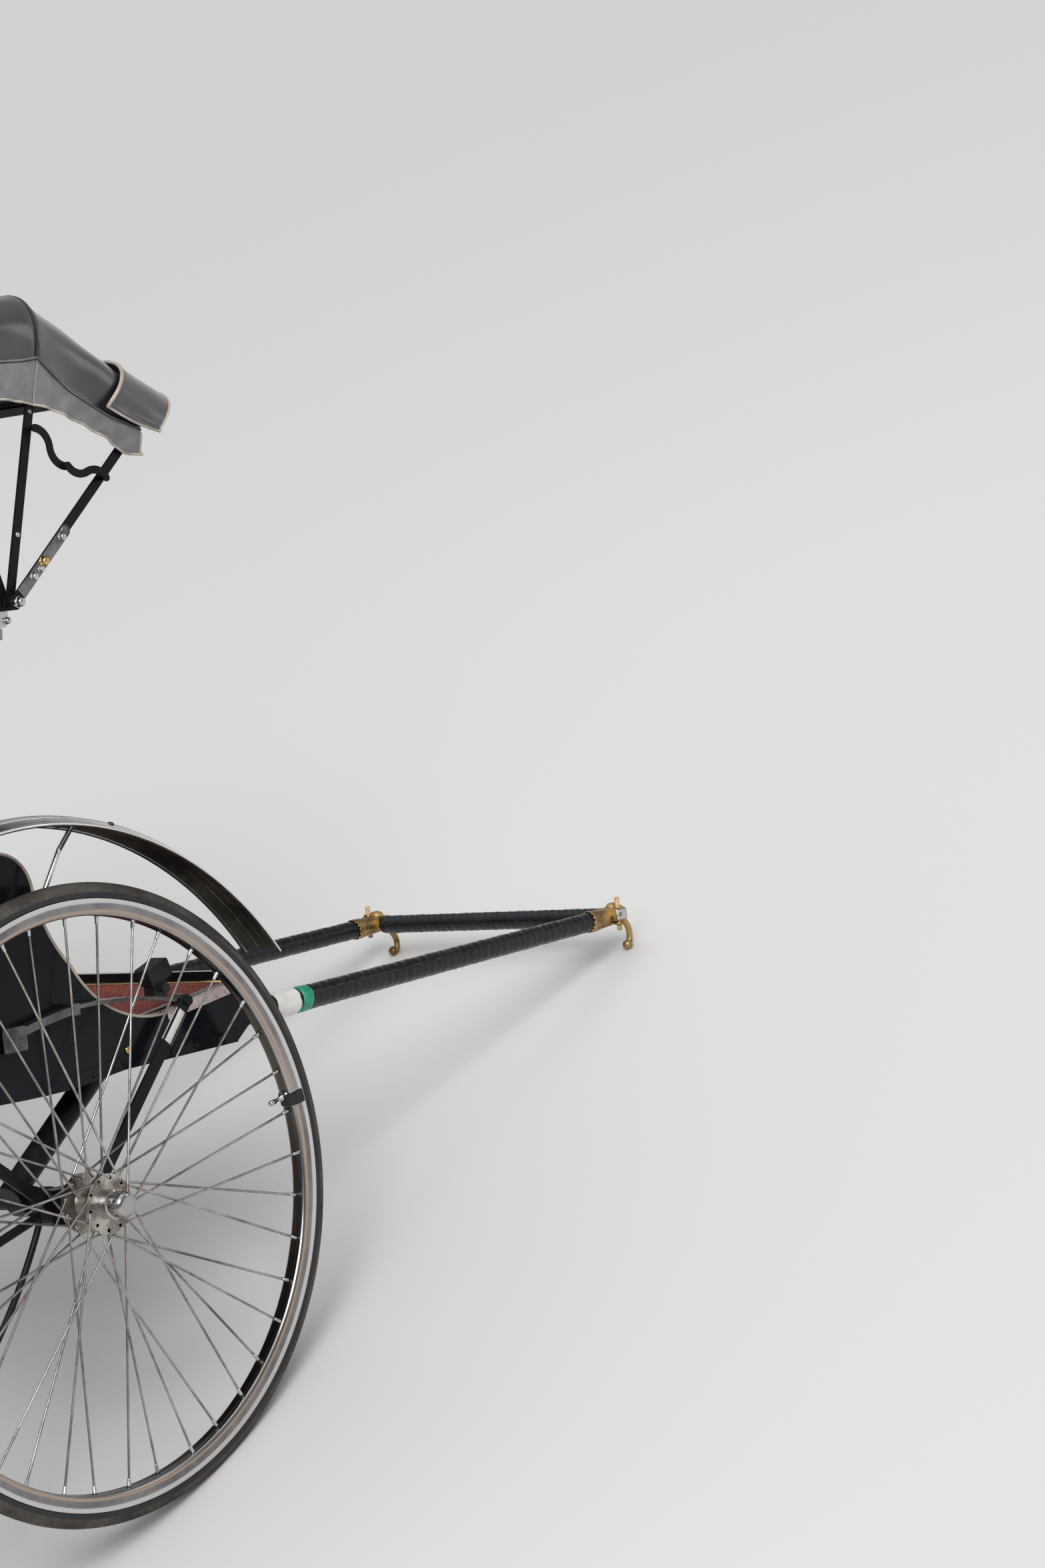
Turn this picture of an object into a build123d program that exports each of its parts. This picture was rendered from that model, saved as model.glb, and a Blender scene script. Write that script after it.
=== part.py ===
# Two-seat pulled rickshaw with a folding hood, parked on its wheels and the two feet of its shafts.
#
# The vehicle is drawn level, as it travels, in the frame of the three planes side, front and top:
# x forward, y to its left, z up, all from the middle of the axle. Those planes are tilted nose down
# by park_angle, so that every piece comes out where it stands when the shafts rest on the floor.
from build123d import *
from math import atan2, asin, hypot, degrees, radians, cos, sin
import os

os.makedirs("parts", exist_ok=True)

# Clearance between pieces that seat on each other
fit_gap = 0.3

# Body: half width over the side panels, and the boards it is made of
body_half = 420.0
panel_thickness = 18.0
board_thickness = 14.0

# Wheels: clearance is from a side panel's face to the middle of the wheel
wheel_radius = 550.0
wheel_clearance = 90.0
tyre_section = 38.0
rim_width = 36.0
rim_height = 28.0
rim_grip = 8.0
rim_bed_width = 22.0
rim_shoulder = 8.0
rim_lip_radius = 2.4
rim_valley_depth = 2.0
spoke_count = 40
spoke_diameter = 4.4
spoke_lead = 62.0
spoke_stagger = 2.6
spoke_head_offset = 4.0
spoke_foot_inset = 7.0
flange_diameter = 104.0
flange_thickness = 6.0
flange_spread = 60.0
hub_waist_diameter = 38.0
hub_shoulder_diameter = 52.0
hub_shoulder_width = 4.0
hub_gap = 2.7
hub_outer_length = 52.0
hub_neck_diameter = 40.0
bearing_wall = 3.0
hub_cap_diameter = 46.0
hub_cap_length = 30.0
hub_cap_round = 12.0
cap_roof = 20.0

# Axle and what hangs from it
axle_diameter = 34.0
axle_reach = 20.0
spindle_diameter = 17.0
spindle_gap = 0.5
spindle_nose = 6.0
clamp_wall = 10.0

# Boards of the floor, the seat and the back, seen from the side
floor_rear_height = 262.0
floor_knee = (170.0, 268.0)
floor_front = (504.0, 310.0)
carpet_thickness = 5.0
carpet_border = 8.0
carpet_setback = 10.0
toe_board_drop = 34.0
toe_board_rise = 20.0
toe_board_rake = 8.0
seat_front = 18.0
seat_board_height = 432.0
back_foot = (-400.0, 215.0)
back_top = (-463.8, 978.0)
back_split_rise = 108.0
back_corner = 60.0
panel_cover = 16.0

# Cushions
cushion_height = 92.0
cushion_overhang = 8.0
cushion_clear = 1.0
cushion_round = 20.0
back_cushion_thickness = 74.0
back_cushion_top_thickness = 46.0
back_cushion_drop = 16.0

# Side panel outline, from the toe along the strip, up the seat and the arm and down the back
toe_low = (466.0, 206.0)
toe_front = (506.0, 236.0)
toe_top = (522.0, 318.0)
strip_rear = (300.0, 285.0)
well_bend = (160.0, 318.0)
well_rise = (85.0, 398.0)
seat_bend = (38.0, 468.0)
seat_rise = (16.0, 536.0)
arm_bend = (0.0, 582.0)
arm_front = (-42.0, 610.0)
arm_rear = (-250.0, 668.0)
wing_bend = (-366.0, 752.0)
wing_rise = (-418.0, 900.0)
crest_front = (-424.0, 950.0)
crest_height = 956.0
belly_bend = (-160.0, 190.0)
belly_front = (53.0, 187.0)
sill_bend = (182.0, 201.0)
sill_width = 24.0
sill_thickness = 3.0

# Arm pads on the sloping tops of the side panels
arm_pad_start = 18.0
arm_pad_length = 145.0
arm_pad_height = 26.0
arm_pad_half_width = 22.0
arm_pad_round = 9.0

# Push bar behind the rear panel
push_bar_height = 520.0
push_bar_reach = 80.0
push_bar_half = 300.0
push_bar_diameter = 22.0
push_bar_bend = 40.0
push_bar_foot = 44.0
push_bar_foot_thickness = 4.0

# Shafts
shaft_inset = 90.0
shaft_diameter = 46.0
shaft_tip_diameter = 37.0
shaft_root = (-36.0, 14.0)
shaft_bend = (240.0, 232.0)
shaft_bend_radius = 160.0
shaft_taper_start = (700.0, 244.0)
shaft_end = (1596.0, 274.0)
shaft_clamp_width = 42.0
crossbar_x = 1656.0
crossbar_z = 275.0
crossbar_diameter = 36.0

# Tips of the shafts: a sleeve, a bracket with its peg, and a curved leg that ends in a ball
sleeve_wall = 2.5
sleeve_length = 84.0
sleeve_end_diameter = 32.0
bracket_length = 36.0
bracket_height = 26.0
bracket_width = 50.0
bracket_rise = 6.0
bracket_round = 3.0
peg_diameter = 9.0
peg_length = 64.0
foot_x = 1700.0
foot_z = 212.0
foot_ball_radius = 10.0
foot_rod_diameter = 13.0
leg_rise = 68.0
leg_bulge = 8.0

# Springs: a leaf pack on each side, lowest at its seat, with an eye at each end
spring_gap = 17.0
spring_width = 24.0
spring_eye_front = (319.0, 303.0)
spring_eye_rear = (-430.0, 296.0)
spring_seat = (-90.0, 303.0)
spring_hump = 150.0
spring_rise = 27.0
spring_crown_front = (199.0, 324.0)
spring_crown_rear = (-340.0, 322.0)
spring_dip = 17.0
leaf_thickness = 7.0
leaf_gap = 0.3
spring_eye_radius = 12.0
spring_pin_radius = 6.0
spring_pin_head = 6.0
spring_clip_width = 16.0
spring_clip_wall = 3.0
spring_saddle_length = 54.0
spring_saddle_height = 42.0
spring_saddle_drop = 6.0
spring_saddle_round = 4.0
stay_width = 22.0
stay_thickness = 6.0
stay_foot = (40.0, -6.0)
block_length = 104.0
block_height = 62.0
block_depth = 40.0
block_margin = 10.0
block_drop = 2.0

# Legs behind the axle that stop the vehicle from tipping back
prop_inset = 35.0
prop_diameter = 16.0
prop_start = (-16.0, -20.0)
prop_knee = (-335.0, -108.0)
prop_foot = (-398.0, -436.0)
prop_bend = 40.0
brace_diameter = 12.0
brace_bend = (-116.0, -176.0)
brace_end = (-372.0, -396.0)
prop_pad_diameter = 28.0
prop_pad_length = 26.0
prop_clamp_width = 20.0

# Mudguards: a ridged strip of sheet, curved about a point behind and below the axle
fender_offset = (-90.0, -20.0)
fender_clearance = 143.0
fender_width = 86.0
fender_drop = 14.0
fender_thickness = 2.5
fender_bead = 3.6
fender_ridge = 2.6
fender_ridge_pitch = 19.0
fender_front_angle = 35.0
fender_rear_angle = 158.0
fender_rod_diameter = 9.0
fender_rod_foot = (78.0, 505.0)
fender_rod_knee = 135.0
fender_rod_head = 153.0
fender_rod_bend = 16.0
fender_rod_foot_radius = 12.0

# Hood
hood_arm_diameter = 14.0
hood_arm_foot = (-232.0, 668.0)
hood_arm_knee = (-205.0, 880.0)
hood_arm_neck = (2.0, 985.0)
hood_plate_length = 66.0
hood_plate_width = 50.0
hood_plate_thickness = 6.0
hood_plate_drop = 8.0
hood_plate_round = 14.0
hood_foot_length = 40.0
hood_foot_height = 8.0
pivot = (20.0, 1035.0)
pin_diameter = 10.0
pin_gap = 0.3
pin_head_radius = 10.0
pin_head_length = 8.0
pin_collar_radius = 9.0
rear_bow_radius = 556.0
third_bow_radius = 558.0
front_bow_radius = 545.0
arch_height = 800.0
bow_thickness = 5.0
bow_width = 17.0
bow_pitch = 10.5
bow_corner = 105.0
eye_diameter = 26.0
strap_length = 176.0
strap_width = 20.0
strap_thickness = 2.5
cover_thickness = 3.0
cover_gap = 0.8
cover_lift = 3.4
rear_cover_depth = 190.0
third_cover_depth = 195.0
second_cover_depth = 198.0
front_cover_depth = 175.0
curtain_radius = 504.0
curtain_depth = 140.0
visor_rear_radius = 542.2
visor_rear_depth = 120.0
visor_front_radius = 567.0
visor_front_depth = 112.0

# Struts that hold the two front bows apart
strut_radius = 307.0
strut_half_length = 91.0
strut_width = 14.0
strut_thickness = 3.0
strut_gap = 5.5
strut_wave = 8.0
strut_pin_radius = 4.0

# Lamp clamp on the front of the right spring
clamp_reach = 262.0
clamp_foot = 30.0
clamp_lift = 5.6
clamp_neck_height = 32.0
clamp_half_width = 13.0
clamp_head_length = 54.0
clamp_head_height = 34.0
clamp_head_turn = 20.0
clamp_head_round = 5.0
clamp_knob_radius = 9.0
clamp_knob_length = 16.0

foot_fall = asin((wheel_radius - foot_ball_radius) / hypot(foot_x, foot_z))
park_angle = degrees(atan2(foot_z, foot_x) + foot_fall)
origin_ahead_of_axle = 547.0

lean = radians(park_angle)
axle_centre = (-origin_ahead_of_axle, 0, wheel_radius)
forward = (cos(lean), 0, -sin(lean))
up = (sin(lean), 0, cos(lean))
down = (-sin(lean), 0, -cos(lean))
side = Plane(axle_centre, x_dir=forward, z_dir=(0, -1, 0))
front = Plane(axle_centre, x_dir=(0, 1, 0), z_dir=forward)
top = Plane(axle_centre, x_dir=forward, z_dir=up)
SIDES = (("right", -1), ("left", 1))
ENDS = (1, -1)

track = 2 * (body_half + wheel_clearance)
inner_half = body_half - panel_thickness
spring_y = body_half + spring_gap
stay_face = spring_y + spring_width / 2 + fit_gap
shaft_y = body_half - shaft_inset
prop_y = body_half - prop_inset
hood_arm_y = body_half - panel_thickness + 1
bow_inner_y = body_half - 1.5


def save(builder, name):
    builder.part.label = name
    export_step(builder.part, f"parts/{name}.step")


def side_at(y):
    """The side plane moved to y: its own x is forward and its own y is up."""
    return side.offset(-y)


def travel_point(x, y, z):
    return top.from_local_coords(Vector(x, y, z))


def ray_plane(angle, shift=0.0):
    """A plane through the hood's pivot: its own x is to the left, its own y points along the angle."""
    turn = radians(angle) - lean
    plane = Plane(travel_point(pivot[0], 0, pivot[1]), x_dir=(0, 1, 0), z_dir=(sin(turn), 0, -cos(turn)))
    return plane.offset(shift)


axle_line = Axis(travel_point(0, 0, 0), (0, 1, 0))
height_line = Axis(travel_point(0, 0, 0), up)
axle_radius = axle_diameter / 2

# Wheels: tyre, rim, the hub with its crossed spokes, and the bearing sleeve with its domed cap
tyre_radius = tyre_section / 2
rim_outer_radius = wheel_radius - tyre_section + rim_grip
rim_inner_radius = rim_outer_radius - rim_height
valley_radius = (rim_bed_width**2 / 4 + rim_valley_depth**2) / (2 * rim_valley_depth)
flange_face = flange_spread / 2 + flange_thickness / 2
hub_inner_length = track / 2 - stay_face - stay_thickness - hub_gap
bore_radius = spindle_diameter / 2 + spindle_gap
sleeve_radius = bore_radius + bearing_wall
hub_bore_radius = sleeve_radius + fit_gap
cap_end = hub_outer_length + hub_cap_length
round_sagitta = hub_cap_round * (1 - cos(radians(45)))
spoke_foot_radius = flange_diameter / 2 - spoke_foot_inset
spoke_head_radius = rim_inner_radius + fit_gap


def spoke_ends(wheel_y, index):
    """Foot and head of a spoke: they take the two flanges in turn and lead and trail in turn."""
    rim_angle = radians(360 / spoke_count * index)
    flange = 1 if index % 2 else -1
    turn = 1 if index // 2 % 2 else -1
    hub_angle = rim_angle + radians(turn * spoke_lead)
    stagger = turn * spoke_stagger
    foot_y = wheel_y + flange * flange_spread / 2 + stagger
    head_y = wheel_y + flange * spoke_head_offset + stagger
    foot = travel_point(spoke_foot_radius * cos(hub_angle), foot_y, spoke_foot_radius * sin(hub_angle))
    head = travel_point(spoke_head_radius * cos(rim_angle), head_y, spoke_head_radius * sin(rim_angle))
    return foot, head


def spoke_planes(wheel_y):
    planes = []
    for index in range(spoke_count):
        foot, head = spoke_ends(wheel_y, index)
        planes.append(Plane(foot, z_dir=head - foot))
    return planes


first_foot, first_head = spoke_ends(0, 0)
spoke_length = (first_head - first_foot).length

for name, sign in SIDES:
    wheel_y = sign * track / 2
    with BuildPart() as tyre:
        with BuildSketch(front):
            with Locations((wheel_y, wheel_radius - tyre_radius)):
                Circle(tyre_radius)
        revolve(axis=axle_line)
    save(tyre, f"tyre_{name}")

    with BuildPart() as rim:
        with BuildSketch(front):
            with BuildLine():
                Polyline(
                    (wheel_y - rim_width / 2, rim_outer_radius),
                    (wheel_y - rim_width / 2, rim_inner_radius + rim_shoulder),
                    (wheel_y - rim_bed_width / 2, rim_inner_radius),
                    (wheel_y + rim_bed_width / 2, rim_inner_radius),
                    (wheel_y + rim_width / 2, rim_inner_radius + rim_shoulder),
                    (wheel_y + rim_width / 2, rim_outer_radius),
                    close=True,
                )
            make_face()
            for edge in (-1, 1):
                with Locations((wheel_y + edge * (rim_width / 2 - rim_lip_radius / 2), rim_outer_radius)):
                    Circle(rim_lip_radius)
            with Locations((wheel_y, rim_inner_radius + rim_valley_depth - valley_radius)):
                Circle(valley_radius, mode=Mode.SUBTRACT)
            with Locations((wheel_y, wheel_radius - tyre_radius)):
                Circle(tyre_radius + fit_gap, mode=Mode.SUBTRACT)
        revolve(axis=axle_line)
    save(rim, f"rim_{name}")

    with BuildPart() as hub:
        with BuildSketch(front):
            with BuildLine():
                waist = ThreePointArc(
                    (wheel_y - flange_spread / 2 + hub_shoulder_width, hub_shoulder_diameter / 2),
                    (wheel_y, hub_waist_diameter / 2),
                    (wheel_y + flange_spread / 2 - hub_shoulder_width, hub_shoulder_diameter / 2),
                )
                Polyline(
                    waist @ 1,
                    (wheel_y + flange_spread / 2 - flange_thickness / 2, flange_diameter / 2),
                    (wheel_y + flange_face, flange_diameter / 2),
                    (wheel_y + flange_face, hub_bore_radius),
                    (wheel_y - flange_face, hub_bore_radius),
                    (wheel_y - flange_face, flange_diameter / 2),
                    (wheel_y - flange_spread / 2 + flange_thickness / 2, flange_diameter / 2),
                    waist @ 0,
                )
            make_face()
        revolve(axis=axle_line)
        with Locations(*spoke_planes(wheel_y)):
            Cylinder(spoke_diameter / 2, spoke_length, align=(Align.CENTER, Align.CENTER, Align.MIN))
    save(hub, f"hub_{name}")

    with BuildPart() as hub_bearing:
        with BuildSketch(front):
            with BuildLine():
                dome = ThreePointArc(
                    (wheel_y + sign * (cap_end - hub_cap_round), hub_cap_diameter / 2),
                    (wheel_y + sign * (cap_end - round_sagitta), hub_cap_diameter / 2 - round_sagitta),
                    (wheel_y + sign * cap_end, hub_cap_diameter / 2 - hub_cap_round),
                )
                Polyline(
                    dome @ 1,
                    (wheel_y + sign * cap_end, 0),
                    (wheel_y + sign * (cap_end - cap_roof), 0),
                    (wheel_y + sign * (cap_end - cap_roof), bore_radius),
                    (wheel_y - sign * hub_inner_length, bore_radius),
                    (wheel_y - sign * hub_inner_length, hub_neck_diameter / 2),
                    (wheel_y - sign * (flange_face + fit_gap), hub_shoulder_diameter / 2),
                    (wheel_y - sign * (flange_face + fit_gap), sleeve_radius),
                    (wheel_y + sign * (flange_face + fit_gap), sleeve_radius),
                    (wheel_y + sign * (flange_face + fit_gap), hub_shoulder_diameter / 2),
                    (wheel_y + sign * (hub_outer_length - rim_lip_radius), hub_shoulder_diameter / 2),
                    (wheel_y + sign * hub_outer_length, hub_neck_diameter / 2),
                    (wheel_y + sign * (hub_outer_length + rim_lip_radius), hub_cap_diameter / 2),
                    dome @ 0,
                )
            make_face()
        revolve(axis=axle_line)
    save(hub_bearing, f"hub_bearing_{name}")

# Axle: a tube between the wheels with a thinner spindle in each hub
with BuildPart() as axle:
    with BuildSketch(side):
        Circle(axle_radius)
    extrude(amount=body_half + axle_reach, both=True)
    with BuildSketch(side):
        Circle(spindle_diameter / 2)
    extrude(amount=track / 2 + hub_outer_length + spindle_nose, both=True)
save(axle, "axle")

# The back leans on one line, and the floor rises a little towards its knee
back_split_height = seat_board_height + back_split_rise
back_lean = (back_foot[0] - back_top[0]) / (back_top[1] - back_foot[1])


def back_x(z):
    """Rear face of the back at a height."""
    return back_foot[0] - (z - back_foot[1]) * back_lean


def back_face(z):
    """Where a board or a cushion meets the front of the back at a height."""
    return back_x(z) + board_thickness + fit_gap


floor_rear = (back_face(floor_rear_height), floor_rear_height)
floor_slope = (floor_knee[1] - floor_rear[1]) / (floor_knee[0] - floor_rear[0])
toe_slope = (floor_front[1] - floor_knee[1]) / (floor_front[0] - floor_knee[0])


def floor_z(x):
    """Top of the floor board at x, behind its knee."""
    return floor_rear[1] + (x - floor_rear[0]) * floor_slope


# Side panels: the outline dips to the foot board and rises to the arm and the back; a steel
# strip is screwed along the lower edge in front
heel = (back_foot[0] - panel_cover, back_foot[1])
crest_rear = (back_x(crest_height) - panel_cover, crest_height)
for name, sign in SIDES:
    with BuildPart() as side_panel:
        with BuildSketch(side_at(sign * (body_half - panel_thickness / 2))):
            with BuildLine():
                Polyline(toe_front, toe_top, strip_rear)
                ThreePointArc(strip_rear, well_bend, well_rise)
                ThreePointArc(well_rise, seat_bend, seat_rise)
                ThreePointArc(seat_rise, arm_bend, arm_front)
                Line(arm_front, arm_rear)
                ThreePointArc(arm_rear, wing_bend, wing_rise)
                Polyline(wing_rise, crest_front, crest_rear, heel)
                ThreePointArc(heel, belly_bend, belly_front)
                Polyline(belly_front, sill_bend, toe_low, toe_front)
            make_face()
        extrude(amount=panel_thickness / 2, both=True)
        with BuildSketch(side_at(sign * body_half)):
            with BuildLine():
                Polyline(
                    (belly_front[0], belly_front[1] + sill_width / 2),
                    (sill_bend[0], sill_bend[1] + sill_width / 2),
                    (toe_low[0], toe_low[1] + sill_width / 2),
                )
            trace(line_width=sill_width)
        extrude(amount=-sign * sill_thickness)
    save(side_panel, f"side_panel_{name}")

# Floor board, in line with the strips on the side panels, and the carpet on it
with BuildPart() as floor_board:
    with BuildSketch(side):
        with BuildLine():
            Polyline(
                floor_rear,
                floor_knee,
                floor_front,
                (floor_front[0], floor_front[1] - board_thickness),
                (floor_knee[0], floor_knee[1] - board_thickness),
                (back_face(floor_rear_height - board_thickness), floor_rear_height - board_thickness),
                close=True,
            )
        make_face()
    extrude(amount=inner_half, both=True)
save(floor_board, "floor_board")

carpet_front = (floor_front[0] - carpet_setback, floor_front[1] - carpet_setback * toe_slope)
carpet_rear = (seat_front + carpet_setback / 5, floor_z(seat_front + carpet_setback / 5))
with BuildPart() as floor_carpet:
    with BuildSketch(side):
        with BuildLine():
            Polyline(
                carpet_rear,
                floor_knee,
                carpet_front,
                (carpet_front[0], carpet_front[1] + carpet_thickness),
                (floor_knee[0], floor_knee[1] + carpet_thickness),
                (carpet_rear[0], carpet_rear[1] + carpet_thickness),
                close=True,
            )
        make_face()
    extrude(amount=inner_half - carpet_border, both=True)
save(floor_carpet, "floor_carpet")

# Toe board: the upright front edge of the foot well
with BuildPart() as toe_board:
    with BuildSketch(side):
        with BuildLine():
            Polyline(
                (floor_front[0], floor_front[1] - toe_board_drop),
                (floor_front[0] + board_thickness, floor_front[1] - toe_board_drop),
                (floor_front[0] + board_thickness + toe_board_rake, floor_front[1] + toe_board_rise),
                (floor_front[0], floor_front[1] + toe_board_rise),
                close=True,
            )
        make_face()
    extrude(amount=inner_half, both=True)
    fillet(toe_board.edges().filter_by(Axis.Y).sort_by(Axis.X)[-1], board_thickness / 3)
save(toe_board, "toe_board")

# Seat box: front board and seat board in one piece, open at the rear and underneath
seat_back = seat_front - board_thickness
seat_under = seat_board_height - board_thickness
with BuildPart() as seat_box:
    with BuildSketch(side):
        with BuildLine():
            Polyline(
                (seat_front, floor_z(seat_front)),
                (seat_front, seat_board_height),
                (back_face(seat_board_height), seat_board_height),
                (back_face(seat_under), seat_under),
                (seat_back, seat_under),
                (seat_back, floor_z(seat_back)),
                close=True,
            )
        make_face()
    extrude(amount=inner_half, both=True)
save(seat_box, "seat_box")

# Rear panel below and back board above, on one leaning line; the back board's top corners are round
BACKS = (("rear_panel", back_foot[1], back_split_height), ("back_board", back_split_height, back_top[1]))
for name, low, high in BACKS:
    with BuildPart() as back:
        with BuildSketch(side):
            with BuildLine():
                Polyline(
                    (back_x(low), low),
                    (back_x(high), high),
                    (back_x(high) + board_thickness, high),
                    (back_x(low) + board_thickness, low),
                    close=True,
                )
            make_face()
        extrude(amount=inner_half, both=True)
        if name == "back_board":
            crest = back.edges().filter_by(lambda edge: edge.length < board_thickness + 1)
            fillet(crest.sort_by(Axis.Z)[-2:], back_corner)
    save(back, name)

# Cushions
cushion_top = seat_board_height + cushion_height
cushion_base = seat_board_height + fit_gap
with BuildPart() as seat_cushion:
    with BuildSketch(side):
        with BuildLine():
            Polyline(
                (seat_front + cushion_overhang, cushion_base),
                (seat_front + cushion_overhang, cushion_top),
                (back_face(cushion_top) + cushion_clear, cushion_top),
                (back_face(cushion_base) + cushion_clear, cushion_base),
                close=True,
            )
        make_face()
    extrude(amount=inner_half - cushion_clear, both=True)
    fillet(seat_cushion.edges().filter_by(Axis.Y).sort_by(Axis.Z)[-1], cushion_round)
save(seat_cushion, "seat_cushion")

back_cushion_low = cushion_top + cushion_clear
back_cushion_high = back_top[1] - back_cushion_drop
with BuildPart() as back_cushion:
    with BuildSketch(side):
        with BuildLine():
            Polyline(
                (back_face(back_cushion_low), back_cushion_low),
                (back_face(back_cushion_high), back_cushion_high),
                (back_face(back_cushion_high) + back_cushion_top_thickness, back_cushion_high),
                (back_face(back_cushion_low) + back_cushion_thickness, back_cushion_low),
                close=True,
            )
        make_face()
    extrude(amount=inner_half - cushion_clear, both=True)
    corners = back_cushion.edges().filter_by(lambda edge: edge.length < back_cushion_top_thickness + 2)
    fillet(corners.sort_by(Axis.Z)[-2:], back_corner)
save(back_cushion, "back_cushion")

# Push bar across the rear panel, on two round feet
push_x = back_x(push_bar_height)
with BuildPart() as push_bar:
    with BuildLine(top.offset(push_bar_height)):
        FilletPolyline(
            (push_x - fit_gap, -push_bar_half),
            (push_x - push_bar_reach, -push_bar_half),
            (push_x - push_bar_reach, push_bar_half),
            (push_x - fit_gap, push_bar_half),
            radius=push_bar_bend,
        )
    bar_start = travel_point(push_x - fit_gap, -push_bar_half, push_bar_height)
    with BuildSketch(Plane(bar_start, z_dir=-front.z_dir)):
        Circle(push_bar_diameter / 2)
    sweep()
    with BuildSketch(front.offset(push_x)):
        with Locations((-push_bar_half, push_bar_height), (push_bar_half, push_bar_height)):
            Circle(push_bar_foot / 2)
    extrude(amount=-push_bar_foot_thickness)
    with BuildSketch(side):
        with BuildLine():
            Polyline(
                (back_x(seat_board_height) - fit_gap, seat_board_height),
                (back_x(back_top[1]) - fit_gap, back_top[1]),
                (back_foot[0], back_top[1]),
                (back_foot[0], seat_board_height),
                close=True,
            )
        make_face()
    extrude(amount=body_half, both=True, mode=Mode.SUBTRACT)
save(push_bar, "push_bar")

# Shafts: each climbs from its clamp on the axle, bends under the floor and tapers to the tip
tip_line = Vector(shaft_end[0] - shaft_taper_start[0], shaft_end[1] - shaft_taper_start[1], 0).normalized()
sleeve_end = (shaft_end[0] + sleeve_length * tip_line.X, shaft_end[1] + sleeve_length * tip_line.Y)
sleeve_mouth_radius = shaft_tip_diameter / 2 + sleeve_wall
for name, sign in SIDES:
    y = sign * shaft_y
    tip_start = travel_point(shaft_end[0], y, shaft_end[1])
    along = tip_start - travel_point(shaft_taper_start[0], y, shaft_taper_start[1])
    with BuildPart() as shaft:
        with BuildLine(side_at(y)) as run:
            FilletPolyline(shaft_root, shaft_bend, shaft_taper_start, radius=shaft_bend_radius)
        with BuildSketch(Plane(run.wire() @ 0, z_dir=run.wire() % 0)):
            Circle(shaft_diameter / 2)
        sweep()
        with BuildSketch(Plane(run.wire() @ 1, z_dir=run.wire() % 1)):
            Circle(shaft_diameter / 2)
        with BuildSketch(Plane(tip_start, z_dir=along)):
            Circle(shaft_tip_diameter / 2)
        loft()
        with BuildSketch(side_at(y)):
            Circle(axle_radius + clamp_wall)
        extrude(amount=shaft_clamp_width / 2, both=True)
        with BuildSketch(side_at(y)):
            Circle(axle_radius + fit_gap)
        extrude(amount=shaft_diameter, both=True, mode=Mode.SUBTRACT)
    save(shaft, f"shaft_{name}")

    with BuildPart() as shaft_tip:
        with BuildSketch(Plane(tip_start, z_dir=along).offset(fit_gap)):
            Circle(sleeve_mouth_radius)
        with BuildSketch(Plane(tip_start, z_dir=along).offset(sleeve_length)):
            Circle(sleeve_end_diameter / 2)
        loft()
        with BuildSketch(side_at(y)):
            with Locations((crossbar_x, crossbar_z + bracket_rise)):
                RectangleRounded(bracket_length, bracket_height, bracket_round)
        extrude(amount=bracket_width / 2, both=True)
        with BuildSketch(top.offset(crossbar_z + bracket_rise - peg_length / 2)):
            with Locations((crossbar_x, y + sign * (sleeve_end_diameter / 2 + peg_diameter / 2))):
                Circle(peg_diameter / 2)
        extrude(amount=peg_length)
        with BuildLine(side_at(y)) as leg:
            Spline(
                (sleeve_end[0] - foot_rod_diameter, sleeve_end[1]),
                (foot_x + leg_bulge, foot_z + leg_rise / 2),
                (foot_x, foot_z),
                tangents=((1, 0), (-leg_bulge, -foot_rod_diameter)),
            )
        with BuildSketch(Plane(leg.wire() @ 0, z_dir=leg.wire() % 0)):
            Circle(foot_rod_diameter / 2)
        sweep()
        with Locations(Plane(travel_point(foot_x, y, foot_z), x_dir=down, z_dir=(0, 1, 0))):
            Sphere(foot_ball_radius)
    save(shaft_tip, f"shaft_tip_{name}")

# Cross bar: its ends are cut to the sleeves that they butt against
with BuildPart() as cross_bar:
    with BuildSketch(side):
        with Locations((crossbar_x, crossbar_z)):
            Circle(crossbar_diameter / 2)
    extrude(amount=shaft_y, both=True)
    for name, sign in SIDES:
        y = sign * shaft_y
        tip_start = travel_point(shaft_end[0], y, shaft_end[1])
        along = travel_point(sleeve_end[0], y, sleeve_end[1]) - tip_start
        with BuildSketch(Plane(tip_start, z_dir=along)):
            Circle(sleeve_mouth_radius + fit_gap)
        extrude(amount=sleeve_length + crossbar_diameter, mode=Mode.SUBTRACT)
        with BuildSketch(side_at(y)):
            with Locations((crossbar_x, crossbar_z + bracket_rise)):
                Rectangle(bracket_length + 2 * fit_gap, crossbar_diameter * 2)
        extrude(amount=bracket_width / 2 + fit_gap, both=True, mode=Mode.SUBTRACT)
save(cross_bar, "cross_bar")

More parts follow.
